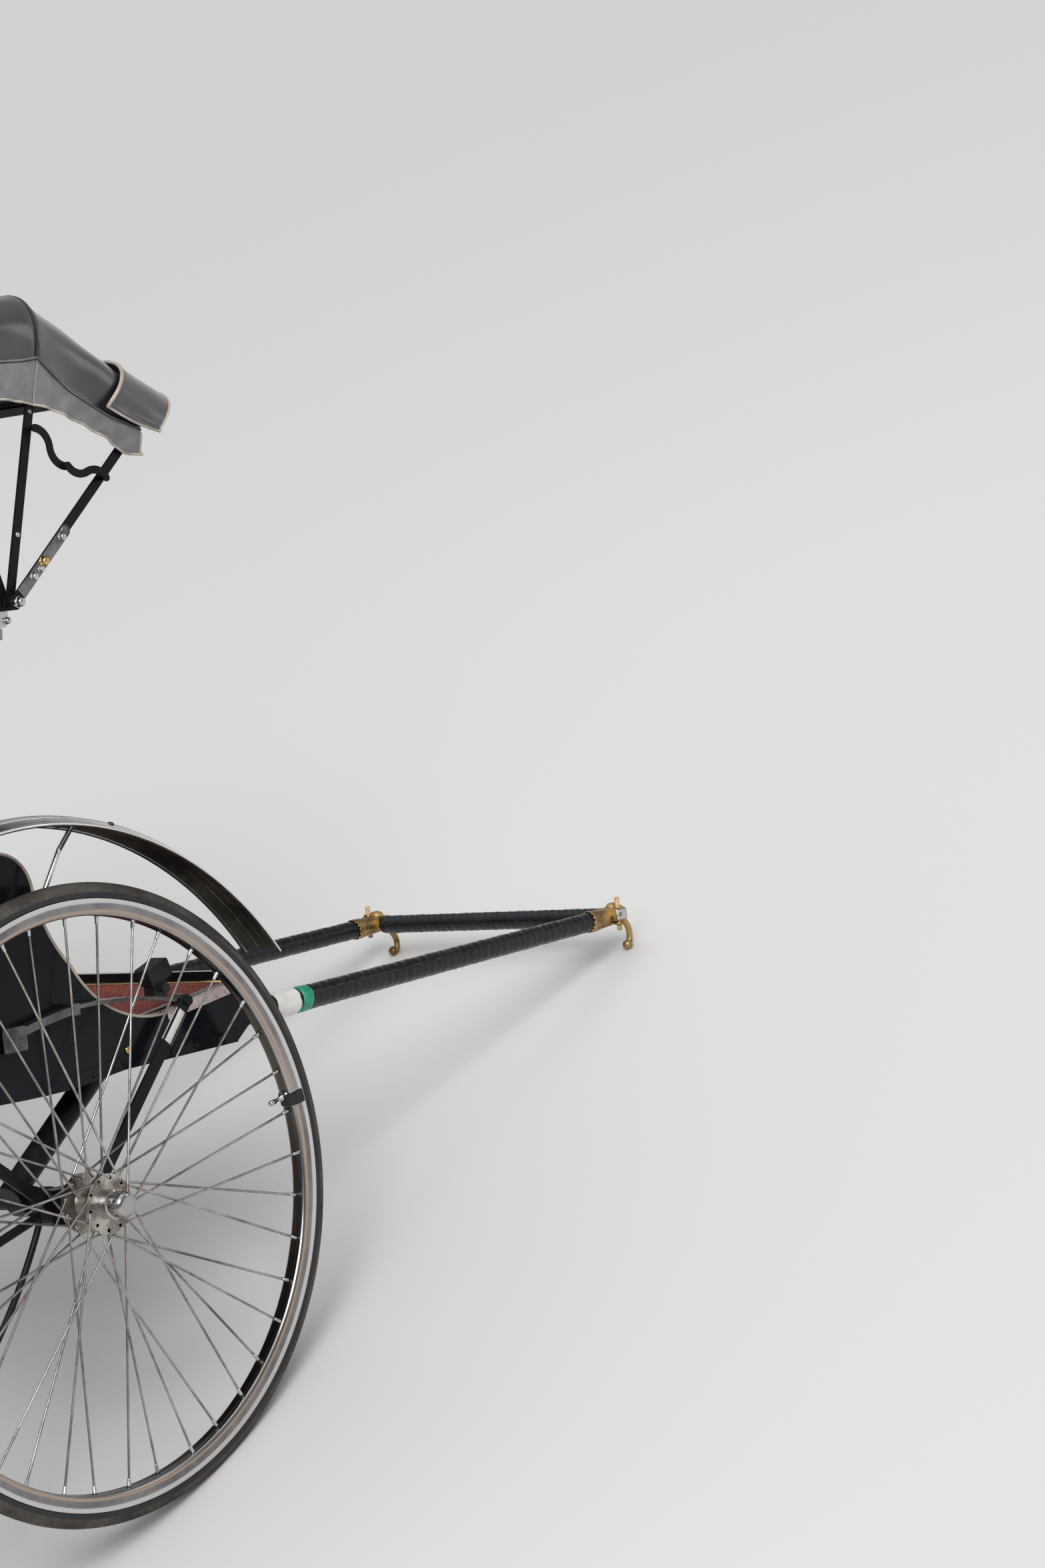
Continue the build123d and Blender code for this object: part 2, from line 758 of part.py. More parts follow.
# Springs: the short leaf lies under the long one, clips hold them together and a saddle carries
# the body on them
hump_front = (spring_seat[0] + spring_hump, spring_seat[1] + spring_rise)
hump_rear = (spring_seat[0] - spring_hump, spring_seat[1] + spring_rise)
block_centre = (0, -block_drop)
for name, sign in SIDES:
    y = sign * spring_y
    with BuildPart() as spring:
        for low, long_leaf in ((0, True), (leaf_thickness + leaf_gap, False)):
            with BuildSketch(side_at(y)):
                with BuildLine():
                    if long_leaf:
                        ThreePointArc(spring_eye_front, spring_crown_front, hump_front)
                        ThreePointArc(hump_rear, spring_crown_rear, spring_eye_rear)
                    for reach in ENDS:
                        ThreePointArc(
                            (spring_seat[0] + reach * spring_hump, spring_seat[1] + spring_rise - low),
                            (spring_seat[0] + reach * spring_hump / 2, spring_seat[1] + spring_dip - low),
                            (spring_seat[0], spring_seat[1] - low),
                        )
                trace(line_width=leaf_thickness)
            extrude(amount=spring_width / 2, both=True)
        with BuildSketch(side_at(y)):
            with Locations((spring_seat[0], spring_seat[1] - spring_saddle_drop)):
                RectangleRounded(spring_saddle_length, spring_saddle_height, spring_saddle_round)
        extrude(amount=spring_gap, both=True)
        clip_height = 2 * leaf_thickness + leaf_gap + 2 * spring_clip_wall
        with BuildSketch(side_at(y)):
            for hump in (hump_front, hump_rear):
                with Locations((hump[0], hump[1] - leaf_thickness / 2)):
                    RectangleRounded(spring_clip_width, clip_height, spring_clip_wall / 2)
        extrude(amount=spring_width / 2 + spring_clip_wall - stay_thickness / 3, both=True)
        with BuildSketch(side_at(y)):
            with Locations(spring_eye_front, spring_eye_rear):
                Circle(spring_eye_radius)
        extrude(amount=spring_width / 2, both=True)
        with BuildSketch(side_at(y)):
            with Locations(spring_eye_front, spring_eye_rear):
                Circle(spring_pin_radius + fit_gap)
        extrude(amount=spring_width, both=True, mode=Mode.SUBTRACT)
    save(spring, f"spring_{name}")

    # Axle stays: two flat bars from the spring's eyes to the bearing block on the axle
    stay_y = sign * (stay_face + stay_thickness / 2)
    with BuildPart() as stay:
        with BuildSketch(side_at(stay_y)):
            with BuildLine():
                Line(spring_eye_front, stay_foot)
            trace(line_width=stay_width)
            with BuildLine():
                Line(spring_eye_rear, (-stay_foot[0], stay_foot[1]))
            trace(line_width=stay_width)
            with Locations(spring_eye_front, spring_eye_rear):
                Circle(stay_width / 2)
            with Locations(block_centre):
                RectangleRounded(block_length, block_height, block_margin)
        extrude(amount=stay_thickness / 2, both=True)
        with BuildSketch(side_at(stay_y)):
            with Locations(block_centre):
                RectangleRounded(block_length - 2 * block_margin, block_height - block_drop * 2, block_margin)
        extrude(amount=sign * block_depth)
        with BuildSketch(side_at(stay_y)):
            with Locations(spring_eye_front, spring_eye_rear):
                Circle(spring_pin_radius)
        extrude(amount=sign * (spring_width + spring_pin_head))
        with BuildSketch(side_at(stay_y)):
            with Locations(spring_eye_front, spring_eye_rear):
                Circle(spring_pin_radius + clamp_wall / 4)
        extrude(amount=-sign * (stay_thickness / 2 + spring_pin_head))
        with BuildSketch(side_at(stay_y)):
            Circle(axle_radius + fit_gap)
        extrude(amount=block_length, both=True, mode=Mode.SUBTRACT)
    save(stay, f"axle_stay_{name}")

# Prop legs: an arm back from the axle, a leg down and a brace between them
for name, sign in SIDES:
    y = sign * prop_y
    with BuildPart() as prop_leg:
        with BuildLine(side_at(y)) as run:
            FilletPolyline(prop_start, prop_knee, prop_foot, radius=prop_bend)
        with BuildSketch(Plane(run.wire() @ 0, z_dir=run.wire() % 0)):
            Circle(prop_diameter / 2)
        sweep()
        with BuildLine(side_at(y)) as brace:
            ThreePointArc(prop_start, brace_bend, brace_end)
        with BuildSketch(Plane(brace.wire() @ 0, z_dir=brace.wire() % 0)):
            Circle(brace_diameter / 2)
        sweep()
        with BuildSketch(side_at(y)):
            Circle(axle_radius + clamp_wall)
        extrude(amount=prop_clamp_width / 2, both=True)
        with BuildSketch(side_at(y)):
            Circle(axle_radius + fit_gap)
        extrude(amount=shaft_diameter, both=True, mode=Mode.SUBTRACT)
        with BuildSketch(Plane(travel_point(prop_foot[0], y, prop_foot[1]), z_dir=up)):
            Circle(prop_pad_diameter / 2)
        extrude(amount=prop_pad_length / 2, both=True)
    save(prop_leg, f"prop_leg_{name}")

# Mudguards: a strip with rolled edges and three ridges, on two bent rods from the side panel
fender_radius = wheel_radius + fender_clearance
fender_edge = fender_width / 2
fender_curve = (fender_edge**2 + fender_drop**2) / (2 * fender_drop)
rod_head_inset = spring_clip_width


def fender_skin(across):
    """Radius of the middle of the sheet at a distance from its centre line."""
    return fender_radius - fender_thickness / 2 - fender_curve + (fender_curve**2 - across**2) ** 0.5


for name, sign in SIDES:
    y = sign * track / 2
    with BuildPart() as fender:
        for reach in ENDS:
            head_radius = fender_skin(rod_head_inset) - fender_thickness
            knee_radius = head_radius - fender_rod_bend * 3
            points = [
                travel_point(
                    fender_offset[0] + reach * fender_rod_foot[0],
                    sign * (body_half + fit_gap),
                    fender_rod_foot[1],
                ),
                travel_point(
                    fender_offset[0] + reach * fender_rod_foot[0],
                    sign * (track / 2 - fender_edge - clamp_wall),
                    fender_rod_foot[1],
                ),
                travel_point(
                    fender_offset[0] + reach * fender_rod_knee,
                    sign * (track / 2 - fender_edge),
                    fender_offset[1] + (knee_radius**2 - fender_rod_knee**2) ** 0.5,
                ),
                travel_point(
                    fender_offset[0] + reach * fender_rod_head,
                    sign * (track / 2 - rod_head_inset),
                    fender_offset[1] + (head_radius**2 - fender_rod_head**2) ** 0.5,
                ),
            ]
            with BuildLine() as bend:
                FilletPolyline(*points, radius=fender_rod_bend)
            with BuildSketch(Plane(bend.wire() @ 0, z_dir=bend.wire() % 0)):
                Circle(fender_rod_diameter / 2)
            sweep(path=bend.wire())
            with BuildSketch(side_at(sign * (body_half + fit_gap))):
                with Locations((fender_offset[0] + reach * fender_rod_foot[0], fender_rod_foot[1])):
                    Circle(fender_rod_foot_radius)
            extrude(amount=-sign * fender_rod_diameter / 3)
        start = radians(fender_front_angle) - lean
        centre = travel_point(fender_offset[0], y, fender_offset[1])
        with BuildSketch(Plane(centre, x_dir=(0, 1, 0), z_dir=(sin(start), 0, -cos(start)))):
            with BuildLine():
                outer = ThreePointArc(
                    (-fender_edge, fender_radius - fender_drop),
                    (0, fender_radius),
                    (fender_edge, fender_radius - fender_drop),
                )
                inner = ThreePointArc(
                    (-fender_edge, fender_radius - fender_drop - fender_thickness),
                    (0, fender_radius - fender_thickness),
                    (fender_edge, fender_radius - fender_drop - fender_thickness),
                )
                Line(outer @ 0, inner @ 0)
                Line(outer @ 1, inner @ 1)
            make_face()
            with Locations((-fender_edge, fender_skin(fender_edge)), (fender_edge, fender_skin(fender_edge))):
                Circle(fender_bead)
            for across in (-fender_ridge_pitch, 0, fender_ridge_pitch):
                with Locations((across, fender_skin(across))):
                    Circle(fender_ridge)
        revolve(axis=Axis(centre, (0, -1, 0)), revolution_arc=fender_rear_angle - fender_front_angle)
    save(fender, f"fender_{name}")

# Arm pads along the tops of the side panels
arm_slope = (arm_rear[1] - arm_front[1]) / (arm_front[0] - arm_rear[0])
arm_pad_front = (arm_front[0] - arm_pad_start, arm_front[1] + arm_pad_start * arm_slope)
arm_pad_rear = (arm_pad_front[0] - arm_pad_length, arm_pad_front[1] + arm_pad_length * arm_slope)
for name, sign in SIDES:
    with BuildPart() as arm_pad:
        with BuildSketch(side_at(sign * (body_half - panel_thickness / 2))):
            with BuildLine():
                Polyline(
                    (arm_pad_front[0], arm_pad_front[1] + fit_gap),
                    (arm_pad_rear[0], arm_pad_rear[1] + fit_gap),
                    (arm_pad_rear[0], arm_pad_rear[1] + arm_pad_height),
                    (arm_pad_front[0], arm_pad_front[1] + arm_pad_height),
                    close=True,
                )
            make_face()
        extrude(amount=arm_pad_half_width, both=True)
        fillet(arm_pad.faces().sort_by(height_line)[-1].edges(), arm_pad_round)
    save(arm_pad, f"arm_pad_{name}")

# Hood arms: a bent rod from each side panel up to the plate and pin that the bows turn on
bow_outer_y = bow_inner_y + 3 * bow_pitch + bow_thickness
arm_foot_z = arm_front[1] + (arm_front[0] - hood_arm_foot[0]) * arm_slope
for name, sign in SIDES:
    y = sign * hood_arm_y
    with BuildPart() as hood_arm:
        with BuildLine(side_at(y)) as run:
            FilletPolyline(
                (hood_arm_foot[0], arm_foot_z + hood_foot_height / 2),
                hood_arm_knee,
                hood_arm_neck,
                (pivot[0], pivot[1] - hood_plate_length / 2 + hood_plate_drop),
                radius=(4 * hood_arm_diameter, hood_arm_diameter),
            )
        with BuildSketch(Plane(run.wire() @ 0, z_dir=run.wire() % 0)):
            Circle(hood_arm_diameter / 2)
        sweep()
        with BuildSketch(side_at(y)):
            with Locations((pivot[0], pivot[1] - hood_plate_drop)):
                RectangleRounded(hood_plate_width, hood_plate_length, hood_plate_round)
        extrude(amount=hood_plate_thickness / 2, both=True)
        with BuildSketch(side_at(y)):
            with BuildLine():
                foot_front = hood_arm_foot[0] + hood_foot_length / 2
                foot_rear = hood_arm_foot[0] - hood_foot_length / 2
                front_z = arm_front[1] + (arm_front[0] - foot_front) * arm_slope + fit_gap
                rear_z = arm_rear[1] + fit_gap
                Polyline(
                    (foot_rear, rear_z),
                    (arm_rear[0], rear_z),
                    (foot_front, front_z),
                    (foot_front, front_z + hood_foot_height),
                    (arm_rear[0], rear_z + hood_foot_height),
                    (foot_rear, rear_z + hood_foot_height),
                    close=True,
                )
            make_face()
        extrude(amount=hood_arm_diameter / 2, both=True)
        with BuildSketch(side_at(y)):
            with Locations(pivot):
                Circle(pin_diameter / 2)
        extrude(amount=-sign * (bow_outer_y + pin_head_length - hood_arm_y))
        with BuildSketch(side_at(sign * (bow_outer_y + strap_thickness + fit_gap))):
            with Locations(pivot):
                Circle(pin_head_radius)
        extrude(amount=-sign * pin_head_length)
        with BuildSketch(side_at(y)):
            with Locations(pivot):
                Circle(pin_collar_radius)
        extrude(amount=-sign * (bow_inner_y - fit_gap - hood_arm_y))
    save(hood_arm, f"hood_arm_{name}")

# Lamp clamp on the front of the right spring: a foot round the leaf, a neck, a tilted head and a knob
leaf_rise = (spring_crown_front[1] - spring_eye_front[1]) / (spring_eye_front[0] - spring_crown_front[0])
clamp_base = spring_eye_front[1] + (spring_eye_front[0] - clamp_reach) * leaf_rise + clamp_lift
with BuildPart() as lamp_clamp:
    with BuildSketch(side_at(-spring_y)):
        with BuildLine():
            Polyline(
                (clamp_reach - clamp_foot / 2, clamp_base + clamp_foot / 2 * leaf_rise),
                (clamp_reach + clamp_foot / 2, clamp_base - clamp_foot / 2 * leaf_rise),
                (clamp_reach + clamp_foot / 2, clamp_base + clamp_neck_height),
                (clamp_reach - clamp_foot / 2, clamp_base + clamp_neck_height),
                close=True,
            )
        make_face()
    extrude(amount=clamp_half_width, both=True)
    with BuildSketch(side_at(-spring_y)):
        with Locations((clamp_reach, clamp_base + clamp_neck_height + clamp_head_height / 3)):
            with Locations(Rotation(0, 0, clamp_head_turn)):
                RectangleRounded(clamp_head_length, clamp_head_height, clamp_head_round)
    extrude(amount=clamp_half_width + 4, both=True)
    with BuildSketch(side_at(-spring_y - clamp_half_width)):
        with Locations((clamp_reach, clamp_base + clamp_neck_height / 2)):
            Circle(clamp_knob_radius)
    extrude(amount=clamp_knob_length)
save(lamp_clamp, "lamp_clamp")

def on_ray(angle, radius):
    """A point of the side planes at an angle and a distance from the hood's pivot."""
    return (pivot[0] + radius * cos(radians(angle)), pivot[1] + radius * sin(radians(angle)))


# Hood bows, from the rear one, each a flat bar bent over the seats: name, angle, radius
BOWS = (
    ("rear", 140.0, rear_bow_radius),
    ("third", 107.0, third_bow_radius),
    ("second", 74.0, front_bow_radius),
    ("front", 41.0, front_bow_radius),
)
cut_width = 2 * (body_half + arch_height / 4)
for place, (name, angle, radius) in enumerate(BOWS):
    outer = bow_inner_y + place * bow_pitch + bow_thickness
    with BuildPart() as bow:
        with BuildSketch(ray_plane(angle)):
            with Locations((0, radius - arch_height / 2)):
                RectangleRounded(2 * outer, arch_height, bow_corner)
                RectangleRounded(
                    2 * (outer - bow_thickness),
                    arch_height - 2 * bow_thickness,
                    bow_corner - bow_thickness,
                    mode=Mode.SUBTRACT,
                )
            with Locations((0, -arch_height / 2)):
                Rectangle(cut_width, arch_height, mode=Mode.SUBTRACT)
        extrude(amount=bow_width / 2, both=True)
        for hand in (-1, 1):
            with BuildSketch(side_at(hand * (outer - bow_thickness / 2))):
                with Locations(pivot):
                    Circle(eye_diameter / 2)
            extrude(amount=bow_thickness / 2, both=True)
            if name == "front":
                with BuildSketch(side_at(hand * outer)):
                    with BuildLine():
                        Line(pivot, on_ray(angle, strap_length))
                    trace(line_width=strap_width)
                    with Locations(pivot):
                        Circle(eye_diameter / 2)
                extrude(amount=-hand * strap_thickness)
            with BuildSketch(side_at(hand * outer)):
                with Locations(pivot):
                    Circle(pin_diameter / 2 + pin_gap)
            extrude(amount=2 * bow_thickness, both=True, mode=Mode.SUBTRACT)
    save(bow, f"hood_bow_{name}")


def cover_band(half_width, radius, depth):
    """The arch of the cover in a ray plane, over a bow of this half width and down to a depth."""
    with Locations((0, radius - arch_height / 2)):
        RectangleRounded(
            2 * (half_width + cover_thickness),
            arch_height + 2 * cover_thickness,
            bow_corner + cover_thickness,
        )
        RectangleRounded(2 * half_width, arch_height, bow_corner, mode=Mode.SUBTRACT)
    with Locations((0, radius - depth - arch_height / 2)):
        Rectangle(cut_width, arch_height, mode=Mode.SUBTRACT)


def bow_half(place):
    return bow_inner_y + place * bow_pitch + bow_thickness + cover_gap


# Cover panels: name, then angle, half width, radius and depth of the rear edge and of the front edge
visor_half = bow_half(3) + cover_lift
rear_edge = (BOWS[0][1], bow_half(0), rear_bow_radius, rear_cover_depth)
third_edge = (BOWS[1][1], bow_half(1), third_bow_radius, third_cover_depth)
second_edge = (BOWS[2][1], bow_half(2), front_bow_radius, second_cover_depth)
front_edge = (BOWS[3][1], bow_half(3), front_bow_radius, front_cover_depth)
curtain_foot = (186.0, bow_half(0), curtain_radius, curtain_depth)
curtain_head = (BOWS[0][1], bow_half(0), third_bow_radius, rear_cover_depth)
visor_rear = (46.0, visor_half, visor_rear_radius, visor_rear_depth)
visor_front = (33.5, visor_half, visor_front_radius, visor_front_depth)
COVERS = (
    ("hood_cover_rear", rear_edge, third_edge),
    ("hood_cover_middle", third_edge, second_edge),
    ("hood_cover_front", second_edge, front_edge),
    ("hood_curtain", curtain_foot, curtain_head),
    ("hood_visor", visor_rear, visor_front),
)
edge_gap = 0.4
for name, rear, ahead in COVERS:
    with BuildPart() as cover:
        for (angle, half_width, radius, depth), shift in ((rear, edge_gap), (ahead, -edge_gap)):
            with BuildSketch(ray_plane(angle, shift)):
                cover_band(half_width, radius + cover_lift, depth)
        loft(ruled=True)
    save(cover, name)

# Two-part struts between the two front bows, a half on each bow, each bent in a long S
second_angle = BOWS[2][1]
front_angle = BOWS[3][1]
chord_angle = (second_angle + front_angle) / 2 - 90
half_chord = strut_radius * sin(radians(second_angle - front_angle) / 2)
droop = degrees(atan2((strut_half_length**2 - half_chord**2) ** 0.5, half_chord))


for part_name, bow_place, bow_angle, aim, layer in (
    ("rear", 2, second_angle, chord_angle - droop, 0),
    ("front", 3, front_angle, chord_angle + 180 + droop, 1),
):
    start = on_ray(bow_angle, strut_radius)
    run = (cos(radians(aim)), sin(radians(aim)))
    rise = strut_wave if part_name == "rear" else -strut_wave

    def strut_point(along, across):
        """A point of the strut, along its run as a share of its length and across it in millimetres."""
        reach = along * strut_half_length
        return (start[0] + reach * run[0] - across * run[1], start[1] + reach * run[1] + across * run[0])

    for name, sign in SIDES:
        strut_y = bow_outer_y + strut_gap + strut_thickness / 2 + layer * (strut_thickness + strut_gap)
        bow_face = bow_inner_y + bow_place * bow_pitch + bow_thickness
        with BuildPart() as strut:
            with BuildSketch(side_at(sign * strut_y)):
                with BuildLine():
                    ThreePointArc(strut_point(0, 0), strut_point(0.25, rise), strut_point(0.5, 0))
                    ThreePointArc(strut_point(0.5, 0), strut_point(0.75, -rise), strut_point(1, 0))
                trace(line_width=strut_width)
                with Locations(strut_point(0, 0), strut_point(1, 0)):
                    Circle(strut_width / 2)
            extrude(amount=strut_thickness / 2, both=True)
            with BuildSketch(side_at(sign * strut_y)):
                with Locations(start):
                    Circle(strut_pin_radius)
            extrude(amount=sign * (strut_y - bow_face - fit_gap))
        save(strut, f"hood_strut_{part_name}_{name}")
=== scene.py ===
# %% [markdown]
# A pulled rickshaw, dressed for its picture. The hard parts arrive as a imported frame in metres,
# already standing where the vehicle parks. This lesson gives them their finishes and adds what
# carpentry and sewing add: tyres with tread, cloth, cushions, trim and small hardware.
#
# We start by loading that frame.

# %% Load the frame
import math

import bpy
import numpy as np
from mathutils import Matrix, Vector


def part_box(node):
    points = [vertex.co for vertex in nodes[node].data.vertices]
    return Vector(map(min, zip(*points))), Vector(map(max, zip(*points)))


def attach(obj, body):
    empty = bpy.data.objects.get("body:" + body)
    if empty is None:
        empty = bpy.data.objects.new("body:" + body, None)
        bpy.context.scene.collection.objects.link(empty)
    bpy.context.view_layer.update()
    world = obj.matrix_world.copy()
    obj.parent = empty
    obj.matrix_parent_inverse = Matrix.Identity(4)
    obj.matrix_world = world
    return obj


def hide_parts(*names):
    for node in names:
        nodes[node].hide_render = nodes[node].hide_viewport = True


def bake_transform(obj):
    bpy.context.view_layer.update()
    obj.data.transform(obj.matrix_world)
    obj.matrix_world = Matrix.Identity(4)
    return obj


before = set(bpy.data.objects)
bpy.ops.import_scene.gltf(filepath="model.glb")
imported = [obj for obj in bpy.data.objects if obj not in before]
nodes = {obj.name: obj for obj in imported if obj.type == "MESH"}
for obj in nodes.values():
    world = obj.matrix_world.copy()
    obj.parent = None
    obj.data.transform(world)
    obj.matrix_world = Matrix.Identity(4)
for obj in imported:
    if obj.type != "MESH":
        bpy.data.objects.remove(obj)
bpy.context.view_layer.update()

# %% [markdown]
# The vehicle was drawn level, as it travels, and then tipped forward about its axle until the
# brass feet of the shafts touch the floor. Places are easier to read in the level drawing, so
# one function carries points from it into the frame: x forward of the axle, y to the left, z up.

# %% From the level drawing to the parked frame
wheel_radius, wheel_side = 0.550, 0.510
both_sides = (("right", -1), ("left", 1))
wheel_sides = tuple((side, sign * wheel_side) for side, sign in both_sides)
foot_x, foot_z, foot_ball = 1.700, 0.212, 0.010
park_lean = math.atan2(foot_z, foot_x) + math.asin((wheel_radius - foot_ball) / math.hypot(foot_x, foot_z))
hub_low, hub_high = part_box("axle")
axle_x = (hub_low[0] + hub_high[0]) / 2
axle_z = (hub_low[2] + hub_high[2]) / 2


def turned(vectors):
    """Directions of the level drawing, turned nose down about the left-hand axis by park_lean."""
    v = np.asarray(vectors, float)
    c, s = math.cos(park_lean), math.sin(park_lean)
    return np.stack([v[..., 0] * c + v[..., 2] * s, v[..., 1], -v[..., 0] * s + v[..., 2] * c], -1)


def parked(points):
    """Points of the level drawing in the frame: turned, then moved with the middle of the axle."""
    return turned(points) + np.array([axle_x, 0, axle_z])


print("the vehicle leans", round(math.degrees(park_lean), 2), "degrees nose down")

# %% [markdown]
# The photograph was fitted with a pinhole camera: the near tyre's outline, the hub and the cross
# bar gave its focal length, height and heading. The camera keeps that place relative to the
# vehicle, so that the picture lines up with the photograph although the vehicle stands parked.

# %% The camera
image_height = 2352
focal_pixels = 5942.0
camera_pitch, camera_roll = math.radians(2.92), math.radians(-6.16)
heading = math.radians(48.916)
near_wheel_y = -wheel_side
camera_from_wheel = np.array([-4.547, -5.028, 0.979])


def linked(name, data):
    """A new object that holds the data, linked into the scene."""
    thing = bpy.data.objects.new(name, data)
    bpy.context.scene.collection.objects.link(thing)
    return thing


def photo_camera():
    """A camera whose three axes are heading, pitch and roll applied in turn, in the level drawing."""
    ahead = np.array([math.sin(heading), math.cos(heading), 0])
    right = np.array([math.cos(heading), -math.sin(heading), 0])
    sky = np.array([0, 0, 1.0])
    look = math.cos(camera_pitch) * ahead - math.sin(camera_pitch) * sky
    lift = math.sin(camera_pitch) * ahead + math.cos(camera_pitch) * sky
    c, s = math.cos(camera_roll), math.sin(camera_roll)
    across, upright = c * right + s * lift, -s * right + c * lift
    place = parked(camera_from_wheel + [0, near_wheel_y, 0])
    data = bpy.data.cameras.new("photo_camera")
    data.sensor_fit = "VERTICAL"
    data.sensor_height = 36.0
    data.lens = focal_pixels / image_height * data.sensor_height
    data.clip_end = 100.0
    camera = linked("photo_camera", data)
    from mathutils import Matrix
    axes = [turned(across), turned(upright), turned(-look)]
    camera.matrix_world = Matrix([[*(axes[j][i] for j in range(3)), place[i]] for i in range(3)] + [[0, 0, 0, 1]])
    bpy.context.scene.camera = camera
    return camera


camera = photo_camera()
print("the camera stands at", [round(v, 3) for v in camera.matrix_world.translation])

# %% [markdown]
# A plain pale floor, one wide soft sun and three softboxes show the form without adding anything
# to it. The sky is banded in greys: polished metal needs something dark beside something bright
# to mirror, or it looks like paint. Nothing here is part of the vehicle.

# %% Floor, world and lamps
def new_material(name):
    """An empty node material with one Principled BSDF, and that shader's sockets by name."""
    material = bpy.data.materials.new(name)
    material.use_nodes = True
    return material, material.node_tree, material.node_tree.nodes["Principled BSDF"]


def make_floor(radius=90.0, level=0.0):
    """A square sheet of four corners at the level the tyres and feet stand on."""
    mesh = bpy.data.meshes.new("studio_floor")
    corners = [(x * radius, y * radius, level) for x, y in ((-1, -1), (1, -1), (1, 1), (-1, 1))]
    mesh.from_pydata(corners, [], [(0, 1, 2, 3)])
    floor = linked("studio_floor", mesh)
    material, tree, shader = new_material("pale_floor")
    shader.inputs["Base Color"].default_value = (0.62, 0.615, 0.605, 1)
    shader.inputs["Roughness"].default_value = 0.85
    mesh.materials.append(material)


def make_lamp(name, place, target, size, power, colour=(1, 1, 1)):
    """A square area lamp at a place, turned so that its face looks at the target."""
    from mathutils import Vector
    light = bpy.data.lights.new(name, "AREA")
    light.size, light.energy, light.color = size, power, colour
    lamp = linked(name, light)
    lamp.location = place
    lamp.rotation_euler = (Vector(target) - Vector(place)).to_track_quat("-Z", "Y").to_euler()


def make_sky():
    """A world whose grey depends on height alone: pale at the horizon, darker above it, brightest overhead."""
    world = bpy.data.worlds.new("studio_world")
    world.use_nodes = True
    tree = world.node_tree
    height = tree.nodes.new("ShaderNodeSeparateXYZ")
    tree.links.new(tree.nodes.new("ShaderNodeTexCoord").outputs["Generated"], height.inputs[0])
    bands = tree.nodes.new("ShaderNodeValToRGB")
    tree.links.new(height.outputs["Z"], bands.inputs[0])
    stops = ((0.00, (0.50, 0.50, 0.49)), (0.14, (0.40, 0.40, 0.40)), (0.30, (0.17, 0.175, 0.18)),
             (0.55, (0.42, 0.43, 0.44)), (0.85, (0.92, 0.93, 0.95)))
    while len(bands.color_ramp.elements) < len(stops):
        bands.color_ramp.elements.new(0.5)
    for element, (place_on_ramp, colour) in zip(bands.color_ramp.elements, stops):
        element.position = place_on_ramp
        element.color = (*colour, 1)
    tree.links.new(bands.outputs["Color"], tree.nodes["Background"].inputs["Color"])
    tree.nodes["Background"].inputs["Strength"].default_value = 0.95
    bpy.context.scene.world = world


def make_sun(name, rotation, strength, spread):
    """A far lamp with a wide disc: even light over the whole floor, with soft-edged shadows."""
    light = bpy.data.lights.new(name, "SUN")
    light.energy, light.angle = strength, spread
    linked(name, light).rotation_euler = rotation


make_floor()
make_sky()
middle = (0.1, 0, 0.9)
make_sun("soft_sun", (math.radians(34), math.radians(-26), 0), 1.75, 0.50)
make_lamp("key_softbox", (-3.4, -2.8, 4.6), middle, 2.4, 75, (1, 0.985, 0.96))
make_lamp("top_softbox", (1.6, 1.0, 5.2), middle, 3.0, 30)
make_lamp("front_fill", (4.8, -4.2, 2.4), middle, 2.4, 22, (0.95, 0.975, 1))
bpy.context.scene.view_settings.view_transform = "Standard"
# %% [markdown]
# Every new piece in this lesson is a surface worked out on a grid: two parameters go in, a table
# of points comes out, and neighbours become four-cornered faces. Keeping that step in one place
# means that each piece below only has to say its own formula.

# %% Shells: grids of points made into faces
def shell(points, wrap_rows=False, wrap_columns=False, uv_size=(1.0, 1.0), finish=0, flip=False):
    """Faces between neighbouring grid points; their UV is the two grid parameters, each times a size."""
    rows, columns = points.shape[:2]
    row_steps, column_steps = rows - (not wrap_rows), columns - (not wrap_columns)
    i, j = np.meshgrid(np.arange(row_steps), np.arange(column_steps), indexing="ij")
    across_first = ([0, 0, 1, 1], [0, 1, 1, 0])
    along_first = ([0, 1, 1, 0], [0, 0, 1, 1])
    steps = across_first if flip else along_first
    a, b = i[..., None] + np.array(steps[0]), j[..., None] + np.array(steps[1])
    faces = ((a % rows) * columns + b % columns).reshape(-1, 4)
    uv = np.stack([a / row_steps * uv_size[0], b / column_steps * uv_size[1]], -1).reshape(-1, 4, 2)
    return points.reshape(-1, 3), faces, uv, np.full(len(faces), finish)


def joined(shells):
    """Several shells as one: points end to end, and each shell's face numbers moved on past the points before it."""
    starts = np.cumsum([0] + [len(s[0]) for s in shells[:-1]])
    faces = np.concatenate([s[1] + start for s, start in zip(shells, starts)])
    return np.concatenate([s[0] for s in shells]), faces, *(np.concatenate([s[k] for s in shells]) for k in (2, 3))


def weld(mesh, distance=1e-6):
    """Points that share a place become one, which closes seams and poles; then every shell's faces turn outward."""
    import bmesh
    work = bmesh.new()
    work.from_mesh(mesh)
    bmesh.ops.remove_doubles(work, verts=work.verts, dist=distance)
    bmesh.ops.dissolve_degenerate(work, edges=work.edges, dist=1e-7)
    bmesh.ops.recalc_face_normals(work, faces=work.faces)
    work.to_mesh(mesh)
    work.free()


